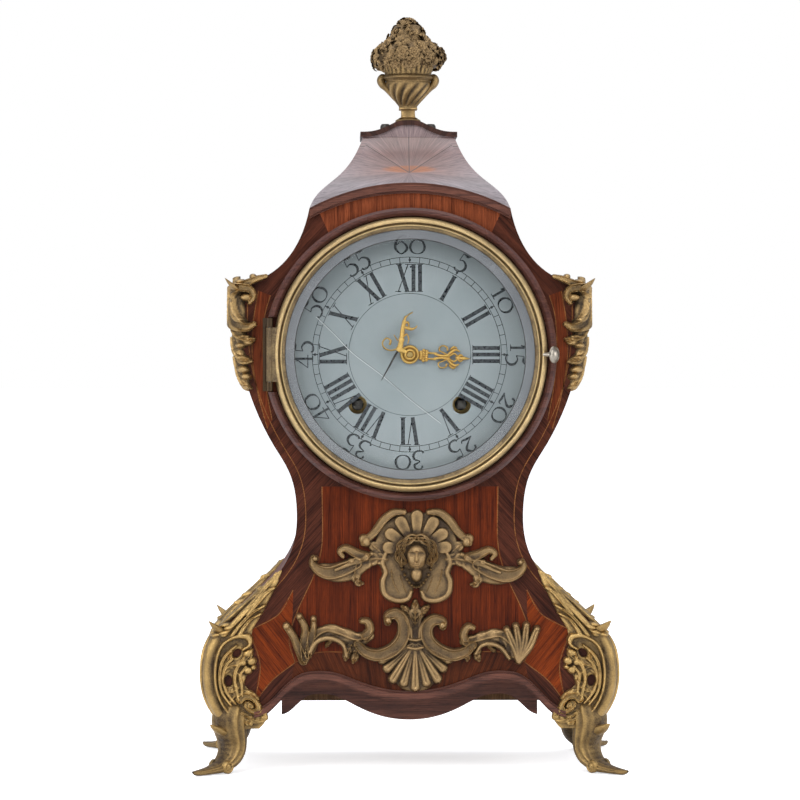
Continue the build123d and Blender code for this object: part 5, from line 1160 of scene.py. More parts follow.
def sided(middle, sign, points):
    """Strap points on one side of a middle line."""
    return [(middle + sign * x, z, w) for x, z, w in points]


def flat_place(u, v, height):
    """A casting laid on the front of the case."""
    return u, FRONT_Y - VENEER_THICK - height, v


def corner_place(side, depth, bend, top=1000.0):
    """A casting bent round a corner of the case: u above 0 on the front or back, below 0 on the side."""
    arc = bend * math.pi / 4

    def place(u, v, height):
        edge = half_width(np.minimum(v, top))
        turn = np.clip(u / bend, -math.pi / 4, math.pi / 4)
        lean = math.pi / 4 - turn
        over = np.clip(u - arc, 0, None)
        back = np.clip(-u - arc, 0, None)
        x = edge - bend + (bend + height) * np.sin(lean) - over
        y = FRONT_Y + bend - (bend + height) * np.cos(lean) + back
        return side * x, depth * y, v
    return place


def spot(at, x, z):
    """One point where a placing function puts it."""
    return at([(x, z, 0)])[0][:2]


def make_mask():
    """The shell-crowned mask with its cape and two scrolled arms."""
    relief = Relief((-72, 108), (80, 181), MOUNT_CELL)
    middle, head_z = 4.2, 146.5

    def on_face(points):
        return [(middle + x, head_z + z, w) for x, z, w in points]

    # The shell behind the head: a rolled rim that ends in two volutes, then square-ended feathers
    relief.dome(middle, 150, 28, 24.5, 1.6, power=0.15)
    for sign in (-1, 1):
        at = partial(sided, middle, sign)
        relief.stroke(at([(35.5, 153.5, 2.0), (36.0, 157.5, 2.2), (32.0, 157.5, 2.6), (27.5, 161.5, 2.8),
                          (22.0, 169.0, 3.0), (15.5, 174.0, 2.8), (8.5, 174.5, 2.2)]), 3.0, scroll)
        relief.dome(middle + sign * 33.4, 154.6, 3.0, 3.6, 4.0)
        relief.stroke(at([(30, 153, 3.2), (25, 149, 4.4), (20, 143, 5.4)]), 2.2, leaf, lobes=3)
    for angle, reach in ((172, 21.5), (146, 23.5), (118, 25), (89, 26.5), (60, 25), (34, 23.5), (8, 22.5)):
        c, s = math.cos(math.radians(angle)), math.sin(math.radians(angle))
        widths = ((10, 2.4), (reach - 7, 4.0), (reach - 2.8, 4.4))
        relief.stroke([(middle + t * c, 148.4 + t * s, w) for t, w in widths], 4.4, feather)
    # The cape's two leaf lobes with rolled edges
    for sign in (-1, 1):
        at = partial(sided, middle, sign)
        relief.dome(middle + sign * 12.5, 124.5, 10.6, 10.6, 2.4, power=0.2)
        relief.dome(middle + sign * 14, 137, 9.5, 9, 2.2, power=0.2)
        relief.stroke(at([(20, 148, 1.8), (22.5, 141, 2.0), (20.5, 134.5, 2.0), (22.5, 128, 2.2),
                          (21.0, 119.8, 2.2), (13.5, 115.6, 2.2), (6.0, 116.6, 2.0), (3.4, 121.5, 1.6)]), 3.6,
                      rounded)
        relief.stroke(at([(17, 136, 2.2), (15.5, 128, 2.8), (12, 121, 2.4)]), 3.4, leaf, lobes=3)
        relief.stroke(at([(11, 132, 1.8), (9, 126, 2.2), (6.5, 121, 1.4)]), 3.2, leaf, lobes=3)
    # The arms: a leafy root, a curled leaf above, a leaf below and a hooked scroll at the end
    for sign, drop, long in ((-1, 0.0, 0.0), (1, -2.6, 2.0)):
        def at(points):
            return [(middle + sign * (x + long * (x - 20) / 48), z + drop * (x - 20) / 48, w)
                    for x, z, w in points]
        relief.stroke(at([(20, 143, 4.6), (28, 143.5, 4.8), (36, 141.5, 6.4), (42, 138, 6.0)]), 3.8, leaf,
                      lobes=4, depth=0.12)
        relief.stroke(at([(36, 139.5, 5.0), (45, 135.8, 7.0), (55, 134.2, 6.2), (63, 136.4, 4.0)]), 3.0,
                      rounded)
        relief.stroke(at([(34, 145, 3.4), (41, 147.5, 3.4), (47, 150.5, 2.8), (51, 148.5, 2.2),
                          (49, 145, 1.6)]), 4.6, scroll)
        relief.stroke(at([(40, 140, 4.4), (41, 133, 4.2), (39, 127.5, 2.6), (36, 127, 1.6)]), 4.4, leaf,
                      lobes=3)
        relief.stroke(at([(40, 140.5, 4.4), (49, 136.5, 5.4), (58, 134, 5.0), (65, 136, 3.8),
                          (69.4, 140.5, 2.4), (68.8, 144.6, 1.7)]), 4.6, scroll)
        relief.dome(*spot(at, 67.4, 143.6), 2.4, 2.3, 5.2)
        relief.dome(*spot(at, 43.5, 142.5), 2.6, 2.2, 5.2)
        relief.stroke(at([(30, 147, 1.6), (36, 143, 1.8), (44, 140, 1.4), (54, 136, 1.0)]), 1.2, rounded,
                      on_top=True)
    # Hair in waves, then the face with its brow, eyes, nose, lips and chin
    relief.dome(middle, head_z + 1, 14.6, 12.6, 6.6, power=0.4)
    for sign in (-1, 1):
        for lock in range(4):
            wave = []
            for share in np.linspace(0, 1, 11):
                angle = math.radians(90 - 132 * share)
                sway = 0.55 * math.sin(20 * share + 1.7 * lock)
                wave.append((middle + sign * (9.0 + 1.5 * lock + sway) * math.cos(angle),
                             head_z + 0.6 + (8.6 + 1.3 * lock + sway) * math.sin(angle),
                             1.1 + 0.3 * math.sin(3 * share)))
            relief.stroke(wave, 9.6 - 0.8 * lock, ridge, steps=4)
    for index in range(7):
        angle = math.radians(54 + 12 * index)
        relief.dome(middle + 10.4 * math.cos(angle), head_z + 1.4 + 9.6 * math.sin(angle), 1.0, 1.0, 10.0)
    relief.dome(middle, head_z - 1.2, 8.2, 9.6, 10.8, power=0.42)
    relief.dome(middle, head_z - 13, 4.2, 6.0, 6.0, power=0.4)
    for sign in (-1, 1):
        relief.press(middle + sign * 3.0, head_z + 0.7, 2.0, 1.2, 1.7)
        relief.dome(middle + sign * 3.0, head_z + 0.4, 1.4, 0.8, 0.7, on_top=True)
        relief.stroke(on_face([(sign * 1.3, 2.2, 0.5), (sign * 3.2, 2.7, 0.6), (sign * 5.0, 1.8, 0.35)]), 0.6,
                      rounded, on_top=True)
        relief.dome(middle + sign * 3.7, head_z - 3.4, 2.3, 2.4, 0.5, on_top=True)
    for points, height in (([(0, 1.9, 0.65), (0, -1.6, 0.8), (0, -3.4, 1.2)], 1.5),
                           ([(-2.1, -6.1, 0.35), (0, -5.8, 0.6), (2.1, -6.1, 0.35)], 0.7),
                           ([(-1.6, -7.2, 0.35), (0, -7.5, 0.7), (1.6, -7.2, 0.35)], 0.7)):
        relief.stroke(on_face(points), height, rounded, on_top=True)
    relief.dome(middle, head_z - 9.6, 2.0, 1.5, 0.7, on_top=True)
    for index in range(13):
        share = index / 12 * 2 - 1
        relief.dome(middle + 9.5 * share, head_z - 22 + 12 * share**2, 1.15, 1.15, 6.4)
    relief.bundle(flat_place, MOUNT_EDGE).piece("mask_mount_cast", finish("gilt_dull"), slot="gilt",
                                                replaces=("mask_mount",))


def make_apron_mount():
    """The shell with its acanthus stem, C-scrolls and arms that end in curled fingers."""
    relief = Relief((-90, 50), (96, 122), MOUNT_CELL)
    middle = 3.4
    # The shell: nine grooved ribs spread from a collar
    relief.stroke([(middle, 84, 5.0), (middle, 76, 13.0), (middle, 70, 16.0)], 2.2, rounded)
    for index in range(9):
        angle = math.radians(270 + 15.4 * (index - 4))
        c, s = math.cos(angle), math.sin(angle)
        reach = 33.6 - 0.32 * (index - 4) ** 2 - 1.8 * (index % 2)
        relief.stroke([(middle + 2 * c, 88 + 2 * s, 1.3), (middle + 16 * c, 88 + 16 * s, 2.7),
                       (middle + (reach - 3.4) * c, 88 + (reach - 3.4) * s, 3.5)], 4.4 - 0.8 * (index % 2),
                      ridge)
    relief.stroke([(middle - 5, 84.5, 1.5), (middle, 83.5, 1.7), (middle + 5, 84.5, 1.5)], 5.6, rounded)
    relief.stroke([(middle - 4.4, 90, 1.3), (middle, 89.2, 1.5), (middle + 4.4, 90, 1.3)], 5.6, rounded)
    # The stem and its three-lobed leaf
    relief.stroke([(middle, 84, 5.0), (middle, 92, 5.4), (middle, 100, 5.0), (middle, 106, 5.4)], 4.0, flute)
    relief.stroke([(middle, 100, 2.6), (middle, 108, 3.6), (middle, 115, 2.2)], 5.2, leaf, lobes=2)
    for sign in (-1, 1):
        at = partial(sided, middle, sign)
        relief.stroke(at([(1.5, 102, 2.2), (5, 108, 3.0), (8.6, 111.5, 2.0)]), 4.8, leaf, lobes=2)
        relief.stroke(at([(2.6, 91, 1.4), (3.4, 97, 1.6), (6.4, 103, 1.0)]), 4.8, rounded)
    # The C-scrolls, the right one a little lower
    for sign, drop in ((-1, 0.0), (1, -3.6)):
        def at(points):
            return [(middle + sign * x, z + drop * max(0, z - 84) / 20, w) for x, z, w in points]
        relief.stroke(at([(18.4, 101.0, 2.6), (17.8, 105.6, 3.4), (12.0, 106.4, 4.2), (7.8, 100.6, 4.6),
                          (8.4, 91.0, 4.8), (14.6, 83.0, 4.9), (24.4, 79.2, 4.6), (33.0, 81.2, 3.9),
                          (38.4, 86.4, 3.0)]), 5.8, scroll)
        relief.dome(*spot(at, 18.0, 102.4), 3.4, 3.2, 5.8)
    # The left arm: an arched leafy band, a curled leaf above, leaves below and three fingers
    relief.stroke([(-27, 92, 3.6), (-34, 89.5, 5.0), (-40, 90.5, 5.4), (-47, 93.5, 5.2), (-55, 95.2, 4.6),
                   (-62, 92, 4.4), (-67, 84, 4.4), (-70.5, 78.5, 4.6)], 4.2, leaf, lobes=5, depth=0.1)
    relief.stroke([(-42.4, 78.4, 1.6), (-45.0, 86.6, 2.0), (-53.6, 90.6, 2.2), (-62.0, 88.4, 2.2),
                   (-67.0, 81.2, 2.0)], 4.8, rounded)
    relief.stroke([(-30, 92, 3.2), (-26.8, 96.5, 3.2), (-28.4, 101.4, 2.8), (-32.0, 102.0, 2.2)], 5.0, scroll)
    for points in (((-39, 86, 3.2), (-42, 80, 3.0), (-43, 76.2, 1.8)),
                   ((-35, 86, 3.2), (-36.4, 79, 3.2), (-38, 74.6, 2.0)),
                   ((-52, 90, 2.0), (-54.6, 87, 2.0), (-56, 84.6, 1.2))):
        relief.stroke(points, 4.6, leaf, lobes=2)
    for points in (((-71, 75.5, 3.4), (-74.5, 84, 3.2), (-78, 92, 2.8), (-82.4, 98.6, 2.6)),
                   ((-70, 77, 3.2), (-70.6, 88, 3.2), (-70.0, 97, 2.8), (-73.8, 105.0, 2.3)),
                   ((-68, 79, 2.8), (-66.2, 90, 2.8), (-64.4, 98, 2.4), (-64.4, 103.6, 2.0))):
        relief.stroke(points, 4.8, scroll)
        u, v, half = points[-1]
        relief.dome(u, v, half + 0.2, half + 0.2, 5.4)
    # The right arm: a leafy band that ends in a fluted fan
    relief.stroke([(36, 88, 3.6), (44, 88.5, 4.8), (52, 90.5, 5.4), (60, 91.5, 5.0), (66, 87, 4.8),
                   (70, 80, 4.6)], 4.2, leaf, lobes=5, depth=0.1)
    relief.stroke([(43.5, 80.0, 1.6), (47.5, 85.4, 1.9), (54.0, 86.6, 2.0), (61.0, 83.6, 2.0),
                   (66.0, 77.0, 1.8)], 4.6, rounded)
    relief.stroke([(37, 88, 3.0), (35.6, 93, 3.0), (38.4, 98, 2.6), (42.0, 97.4, 2.0)], 5.0, scroll)
    for points in (((40, 85, 3.2), (38.6, 79.5, 3.0), (38, 75.6, 1.8)),
                   ((45, 84, 3.0), (44.6, 79, 3.0), (46, 75.4, 1.8)),
                   ((52, 86, 2.0), (55, 83, 2.0), (57, 81.4, 1.2))):
        relief.stroke(points, 4.6, leaf, lobes=2)
    for u, v in ((64.5, 96.0), (70.6, 98.4), (77.6, 99.0), (84.6, 96.4)):
        relief.stroke([(72.5, 75.0, 2.6), ((72.5 + u) / 2 + 1.0, (75 + v) / 2 - 1.0, 3.2), (u, v, 2.6)], 4.8,
                      ridge)
        relief.dome(u, v, 2.7, 2.4, 5.2)
    relief.bundle(flat_place, MOUNT_EDGE).piece("apron_mount_cast", finish("gilt_dull"), slot="gilt",
                                                replaces=("apron_mount",))


def foot_relief():
    """The pierced casting round a lower corner."""
    relief = Relief((-36, 30), (36, 136), CORNER_CELL)
    for sign in (1, -1):
        at = partial(sided, 0, sign)
        # The ground and its rolled rim
        relief.stroke(at([(9, 94, 9), (12.5, 84, 12), (14, 74, 13.5), (10, 60, 10.5), (14, 48, 14),
                          (15, 42, 14.5), (10, 34, 10)]), 1.1, rounded)
        relief.stroke(at([(20.5, 83.0, 1.3), (24.0, 86.5, 1.7), (20, 91.2, 1.9), (12, 91.6, 1.9),
                          (6.4, 87, 1.6), (4.6, 78, 1.3), (4.2, 64, 1.2), (4.6, 52, 1.2), (6, 42, 1.3),
                          (8.4, 33, 1.4)]), 3.8, rounded)
        for points in (((10.5, 46, 1.3), (7.6, 54, 1.5), (7.0, 64, 1.6), (8.2, 74, 1.7), (11.4, 81, 1.6),
                        (15.2, 85.6, 1.1)),
                       ((14, 47, 1.2), (10.4, 55, 1.5), (9.6, 66, 1.6), (11.6, 73, 1.5), (15.2, 77, 1.2)),
                       ((17, 49, 1.3), (17.6, 56, 1.6), (17, 63, 1.7), (18.4, 70, 1.7), (22, 76.5, 1.4),
                        (22.4, 81, 1.0)),
                       ((20.4, 52, 1.1), (21.4, 59, 1.5), (21, 66, 1.5), (24.5, 71.5, 1.2))):
            relief.stroke(at(points), 3.4, ridge)
        # Leaves that fan from the rim, the flower cluster at the inner edge and the swirl below it
        for points in (((9, 66, 2.2), (13, 71.5, 3.0), (19, 73, 3.2), (25.5, 78, 2.4), (26.5, 82.5, 1.4)),
                       ((9, 72, 2.0), (12.5, 77.5, 2.6), (13.5, 83, 1.6)),
                       ((17, 69, 2.4), (21.5, 64.5, 3.0), (20.5, 58, 2.0)),
                       ((9, 55, 2.2), (14, 54.5, 2.8), (19.5, 57.5, 2.2)),
                       ((13, 41, 2.4), (19.5, 36.5, 3.2), (26.5, 37, 2.8), (31, 42.5, 1.8)),
                       ((11, 48, 2.2), (16.5, 52.5, 3.0), (24.5, 54, 2.8), (30, 50.5, 1.8)),
                       ((8, 40, 2.6), (12.5, 36, 2.8), (18, 33.5, 2.0))):
            relief.stroke(at(points), 3.1, leaf, lobes=3, depth=0.15)
        for u, v, size in ((24.5, 80.5, 3.2), (28, 75, 3.4), (26, 69, 3.2), (22.5, 74, 2.6), (29.5, 71, 2.2)):
            relief.dome(sign * u, v, size, size * 0.9, 3.6)
        relief.curl(sign * 23.5, 45.5, 7.0, 2.5, 3.8, 150 if sign > 0 else 30, sign * -1.25)
        relief.pierce(sign * 17.2, 80.4, 2.7, 2.9)
        relief.pierce(sign * 12.8, 62, 2.6, 3.7)
        relief.press(sign * 23.5, 45.5, 1.6, 1.6, 2.4)
        # The acanthus up the edge of the case: long ribs that end in curls
        relief.stroke(at([(10, 93, 9.4), (8.6, 101, 7.8), (6.4, 108, 6.2), (4, 116, 4.4), (2, 124, 2.8),
                          (0.6, 130, 1.6), (0, 135, 0.7)]), 1.8, rounded)
        for points, tip in ((((3.6, 93, 2.2), (3.0, 103, 2.1), (1.9, 113, 1.8), (0.7, 123, 1.4),
                              (0, 134, 0.7)), 0.6),
                            (((8.6, 93, 2.3), (7.4, 101, 2.3), (7.0, 107.5, 2.4), (9.4, 111.2, 2.2)), 2.5),
                            (((13.4, 92.5, 2.2), (11.6, 98.5, 2.2), (10.8, 103, 2.1), (13.0, 106.0, 1.9)),
                             2.2),
                            (((5.4, 107, 2.0), (3.8, 114, 2.0), (2.8, 119.6, 2.0), (3.8, 123.4, 1.8)), 2.1)):
            relief.stroke(at(points), 3.6, ridge)
            u, v, _ = points[-1]
            relief.dome(sign * u, v, tip, tip * 0.9, 4.4)
    # The smooth band round the corner and the flower at its top
    relief.stroke([(0, 93, 3.2), (0, 82, 3.5), (0, 64, 3.4), (0, 48, 3.6), (0, 33, 4.0)], 2.6, rounded)
    for index in range(6):
        angle = math.radians(60 * index + 30)
        relief.dome(3.2 * math.cos(angle), 96 + 3.2 * math.sin(angle), 2.2, 2.0, 5.0)
    relief.dome(0, 96, 1.7, 1.7, 5.6)
    return relief


# The leg's spine on the corner's diagonal: out from the corner, up, half width across and half thickness
LEG_SPINE = ((-13, 48, 5, 5), (-8.5, 42, 11.5, 9.6), (-6.4, 35, 12.6, 11), (-7.2, 28, 12.2, 9.6),
             (-8.8, 21, 11.4, 8.0), (-8.4, 14.5, 10.6, 7.2), (-5.0, 9, 9.6, 6.2), (1.5, 5.0, 8.0, 4.6),
             (9, 3.4, 6.2, 3.2), (17, 2.6, 4.4, 2.4), (23.5, 2.4, 2.8, 1.9), (27, 3.2, 0.9, 0.8))
# The middle of the volutes at the toe's root
TOE_OUT, TOE_UP = 1.5, 4.8
# Leaves that stand off a foot: height, length, rise and half width
FOOT_SPURS = ((95, 10, 5, 3.4), (28, 10, 3, 4.2))


def on_diagonal(side, depth, away, across, up):
    """Points by their place out along a corner's diagonal, across it and up."""
    x = CORNER_X + (away - across) / math.sqrt(2)
    y = FRONT_Y - (away + across) / math.sqrt(2)
    return np.stack([side * x, depth * y, np.maximum(up, 0)], axis=1)


def leg_grid(side, depth):
    """The C-scroll leg and its toe as one sweep, with rolled rims and a beaded channel."""
    path = spline(LEG_SPINE, 9)
    way = np.gradient(path[:, :2], axis=0)
    way /= np.hypot(way[:, 0], way[:, 1])[:, None]
    length = np.concatenate([[0], np.cumsum(np.hypot(*np.diff(path[:, :2], axis=0).T))])
    turns = np.linspace(-math.pi, math.pi, 97)[:-1]
    around = np.degrees(np.abs(turns))
    rims = sum(size * np.exp(-((around - at) / wide) ** 2) for at, wide, size in (
        (62, 9, 0.13), (92, 11, 0.11), (122, 9, 0.07), (34, 6, 0.05)))
    channel = np.exp(-((around - 16) / 12) ** 2)
    rows, wear = [], []
    for (out, up, wide, thick), (step_out, step_up), run in zip(path, way, length):
        beads = 0.07 * np.abs(math.sin(run * 0.6)) * channel - 0.05 * channel
        reach = 0.94 + rims + beads
        away = out - step_up * thick * reach * np.cos(turns)
        z = up + step_out * thick * reach * np.cos(turns)
        across = wide * reach * np.sin(turns)
        rows.append(on_diagonal(side, depth, away, across, z))
        wear.append(np.clip(0.3 + 2.4 * rims + 3 * beads, 0, 1))
    return np.array(rows), np.array(wear)


def toe_curl(bundle, side, depth, flip):
    """The small volutes on both cheeks of the toe's root."""
    turns = circle(20)
    for cheek in (-1, 1):
        rows = []
        for size, stand in ((4.4, 5.0), (4.4, 7.4), (3.6, 8.4), (2.4, 8.2), (1.8, 8.9), (0.1, 9.3)):
            away = TOE_OUT + size * np.cos(turns)
            rows.append(on_diagonal(side, depth, away, cheek * stand, TOE_UP + size * np.sin(turns)))
        bundle.sheet(np.array(rows), 0.6, wrap=True, flip=flip == (cheek > 0))


# A spur's rings, by their share of its length and of its half width, and how far its tip bends up
SPUR_RINGS = ((0, 1.0), (0.35, 0.9), (0.7, 0.55), (0.93, 0.2), (1, 0.02))
SPUR_BEND = (0, 0, 2.4)


def spur(bundle, base, tip, radius, flip):
    """A small pointed leaf that stands off the casting."""
    base, tip = np.array(base), np.array(tip)
    way = tip - base
    side = np.cross(way, (0.3, 0.2, 1.0))
    side /= np.linalg.norm(side)
    other = np.cross(way, side)
    other /= np.linalg.norm(other)
    turns = circle(12)
    rows = []
    for share, size in SPUR_RINGS:
        middle = base + way * share + np.array(SPUR_BEND) * share**2
        ring = np.outer(np.cos(turns), side) * 1.3 + np.outer(np.sin(turns), other) * 0.7
        rows.append(middle + radius * size * ring)
    bundle.sheet(np.array(rows), 0.6, wrap=True, flip=flip)


def make_feet():
    """The four feet: one corner casting, turned round to each corner, with its leg and toe."""
    upper = foot_relief()
    for side, side_name in ((-1, "left"), (1, "right")):
        for depth, depth_name in ((1, "front"), (-1, "back")):
            flip = side * depth > 0
            casting = upper.bundle(corner_place(side, depth, FOOT_BEND), CORNER_EDGE, flip=flip)
            grid, wear = leg_grid(side, depth)
            casting.sheet(grid, wear, wrap=True, flip=flip)
            toe_curl(casting, side, depth, flip)
            for z, long, rise, size in FOOT_SPURS:
                x = half_width(z) + 1
                spur(casting, (side * (x - 1), depth * (FRONT_Y - 0.5), z),
                     (side * (x + long * 0.7), depth * (FRONT_Y - long * 0.7), z + rise), size, not flip)
            node = f"foot_{depth_name}_{side_name}"
            casting.piece(node + "_cast", finish("gilt"), slot="gilt", replaces=(node,))


def shoulder_relief():
    """The scrolled leaf on the edge of a shoulder, drawn by its distance from the middle of the front."""
    relief = Relief((-30, 250), (26, 338), CORNER_CELL)

    def at(points):
        return [(float(half_width(min(z, SHOULDER_TOP))) - x, z, w) for x, z, w in points]

    relief.stroke(at([(116.5, 318, 4.8), (116.2, 306, 5.4), (116, 296, 4.6), (116.4, 286, 4.0),
                      (114.6, 276, 4.6), (112.4, 266, 4.2), (110.2, 258, 3.0)]), 3.0, rounded)
    relief.stroke(at([(108, 314, 1.7), (105.6, 318, 2.3), (107.6, 322.6, 2.8), (113.4, 324, 3.4),
                      (118, 319, 4.4), (118, 309, 5.0), (115.6, 301.4, 4.8), (110.6, 297.6, 3.4),
                      (105, 299.8, 1.9)]), 6.2, scroll)
    relief.dome(*spot(at, 109.6, 317.6), 3.0, 3.0, 6.6)
    for points in (((110.5, 321.6, 0.5), (115, 319.6, 0.8), (117, 311, 0.9), (114.4, 303, 0.8),
                    (109, 299.6, 0.5)),
                   ((113, 318.6, 0.5), (114.8, 311.5, 0.8), (112.6, 305, 0.7), (109.4, 301.8, 0.4)),
                   ((118.6, 317, 0.5), (119.2, 308, 0.8), (116.8, 299.6, 0.8), (111.6, 295.6, 0.5))):
        relief.stroke(at(points), 1.3, rounded, on_top=True)
    for points, lobes in ((((118, 298, 3.6), (114, 291.5, 4.8), (109.5, 288.8, 3.6), (105.2, 289.6, 1.8)), 2),
                          (((118, 291, 3.2), (116.5, 282.5, 4.6), (112, 276.5, 3.8), (107.2, 275, 1.8)), 3),
                          (((115.5, 278, 3.4), (114, 268, 3.8), (111, 261, 3.2), (107, 257.4, 1.6)), 3)):
        relief.stroke(at(points), 5.0, leaf, lobes=lobes, depth=0.15)
    for x, z, size in ((110.6, 269.6, 3.0), (108.6, 265.0, 2.4), (112.4, 285.6, 2.2)):
        relief.dome(*spot(at, x, z), size, size, 5.6)
    relief.stroke(at([(116, 323.5, 2.4), (111, 326.5, 2.6), (104, 329.6, 2.4), (97.4, 331.6, 1.6)]), 4.4,
                  scroll)
    for x, z in ((113, 328), (106, 331.6)):
        relief.dome(*spot(at, x, z), 2.4, 1.8, 4.6)
    # The leaf that lies back along the case's side
    for points in (((-6, 316, 3.4), (-12, 307, 4.4), (-14, 296, 4.0), (-12, 284, 3.2), (-8, 273, 2.0)),
                   ((-9, 322, 3.0), (-16, 326, 3.4), (-22, 331, 1.6)),
                   ((-8, 300, 3.2), (-9, 288, 3.6), (-5, 276, 2.4))):
        relief.stroke(points, 3.2, leaf, lobes=4)
    return relief


def make_shoulders():
    """Both shoulder mounts from one casting."""
    relief = shoulder_relief()
    for side, side_name in ((-1, "left"), (1, "right")):
        casting = relief.bundle(corner_place(side, 1, SHOULDER_BEND, SHOULDER_TOP), CORNER_EDGE,
                                flip=side > 0)
        z = SHOULDER_TOP
        x = half_width(z)
        spur(casting, (side * x, FRONT_Y - 1, z), (side * (x + 9), FRONT_Y - 7, z + 6), 2.6, side < 0)
        node = f"shoulder_mount_{side_name}"
        casting.piece(node + "_cast", finish("gilt_dark"), slot="gilt", replaces=(node,))


# Finial

URN_PROFILE = ((8.6, 438.6), (8.4, 440.2), (6.0, 441.4), (4.9, 442.4), (4.8, 446.6), (6.2, 447.2),
               (6.2, 448.4), (6.6, 450.2), (9.6, 454.2), (12.6, 458.4), (14.8, 462.4), (15.6, 465.0),
               (15.2, 466.4), (16.4, 467.6), (17.6, 468.6), (17.0, 470.2), (15.8, 471.0), (16.2, 474.4),
               (18.2, 478.0), (21.0, 480.2), (22.4, 481.6), (18.0, 482.4), (4.0, 482.6))

HANDLE = ((8.6, 454.0, 1.2), (11.6, 458.0, 1.7), (14.8, 461.8, 2.1), (17.4, 464.6, 2.7), (18.6, 467.4, 2.8),
          (17.4, 469.4, 2.6), (16.2, 468.4, 2.2))
# Heights of the square stem, the bowl's twisted lobes and the rim's flutes
STEM, LOBES, FLUTES = (441, 448.6), (449.5, 465), (471, 480.5)


def swell_depth(z, zone):
    """How deep a zone's lobes are at a height: none at its ends."""
    return math.sin(math.pi * (z - zone[0]) / (zone[1] - zone[0])) ** 0.6


def make_urn():
    """The lobed urn on its square stem, with two scrolled handles."""
    urn = Bundle()
    profile = spline(URN_PROFILE, 5)
    turns = circle(180)
    rows, wear = [], []
    for radius, z in profile:
        swell = np.zeros_like(turns)
        if LOBES[0] < z < LOBES[1]:
            swell = 1.9 * swell_depth(z, LOBES) * (np.abs(np.cos(6 * (turns - 0.05 * (z - 450)))) - 0.62)
        elif FLUTES[0] < z < FLUTES[1]:
            swell = 1.2 * swell_depth(z, FLUTES) * (np.abs(np.cos(14 * turns)) - 0.5)
        elif STEM[0] < z < STEM[1]:
            square = 1 / np.maximum(np.abs(np.cos(turns)), np.abs(np.sin(turns)))
            swell = radius * (np.minimum(square, 1.3) - 1)
        reach = radius + swell
        rows.append(np.stack([reach * np.cos(turns), reach * np.sin(turns), np.full_like(turns, z)], axis=1))
        wear.append(np.clip(0.48 + 0.42 * swell, 0, 1))
    urn.sheet(np.array(rows), np.array(wear), wrap=True)
    # A scrolled handle on each side
    around = circle(14)
    for side in (-1, 1):
        path = spline(HANDLE, 7)
        tube = []
        for (x, z, w), (dx, dz, _) in zip(path, np.gradient(path, axis=0)):
            size = math.hypot(dx, dz) or 1
            tube.append(np.stack([side * (x - dz / size * w * np.cos(around)), 1.7 * w * np.sin(around),
                                  z + dx / size * w * np.cos(around)], axis=1))
        urn.sheet(np.array(tube), 0.6, wrap=True, flip=side < 0)
    urn.piece("finial_urn_cast", finish("gilt_dark"), slot="gilt", replaces=("finial_urn",))


# The flower heap: height, radius, flowers in the ring, their size and how far they look up
FLOWER_RINGS = ((478.4, 22.8, 20, 4.4, -0.25), (483.6, 23.8, 20, 4.6, 0.15), (488.2, 20.0, 16, 4.8, 0.6),
                (492.4, 14.4, 12, 4.7, 0.7), (497.2, 11.2, 10, 4.6, 0.3), (502.2, 9.4, 8, 4.5, 0.6),
                (506.4, 4.4, 5, 4.4, 1.6))
FLOWER_CORE = ((8, 478), (20, 476.5), (23.2, 480), (23.4, 485), (19.6, 489.4), (14.4, 493), (11.6, 498),
               (9.6, 504), (0.1, 508.4))

FLOWER_SEED = 7
LEAF_SHARE = 0.28


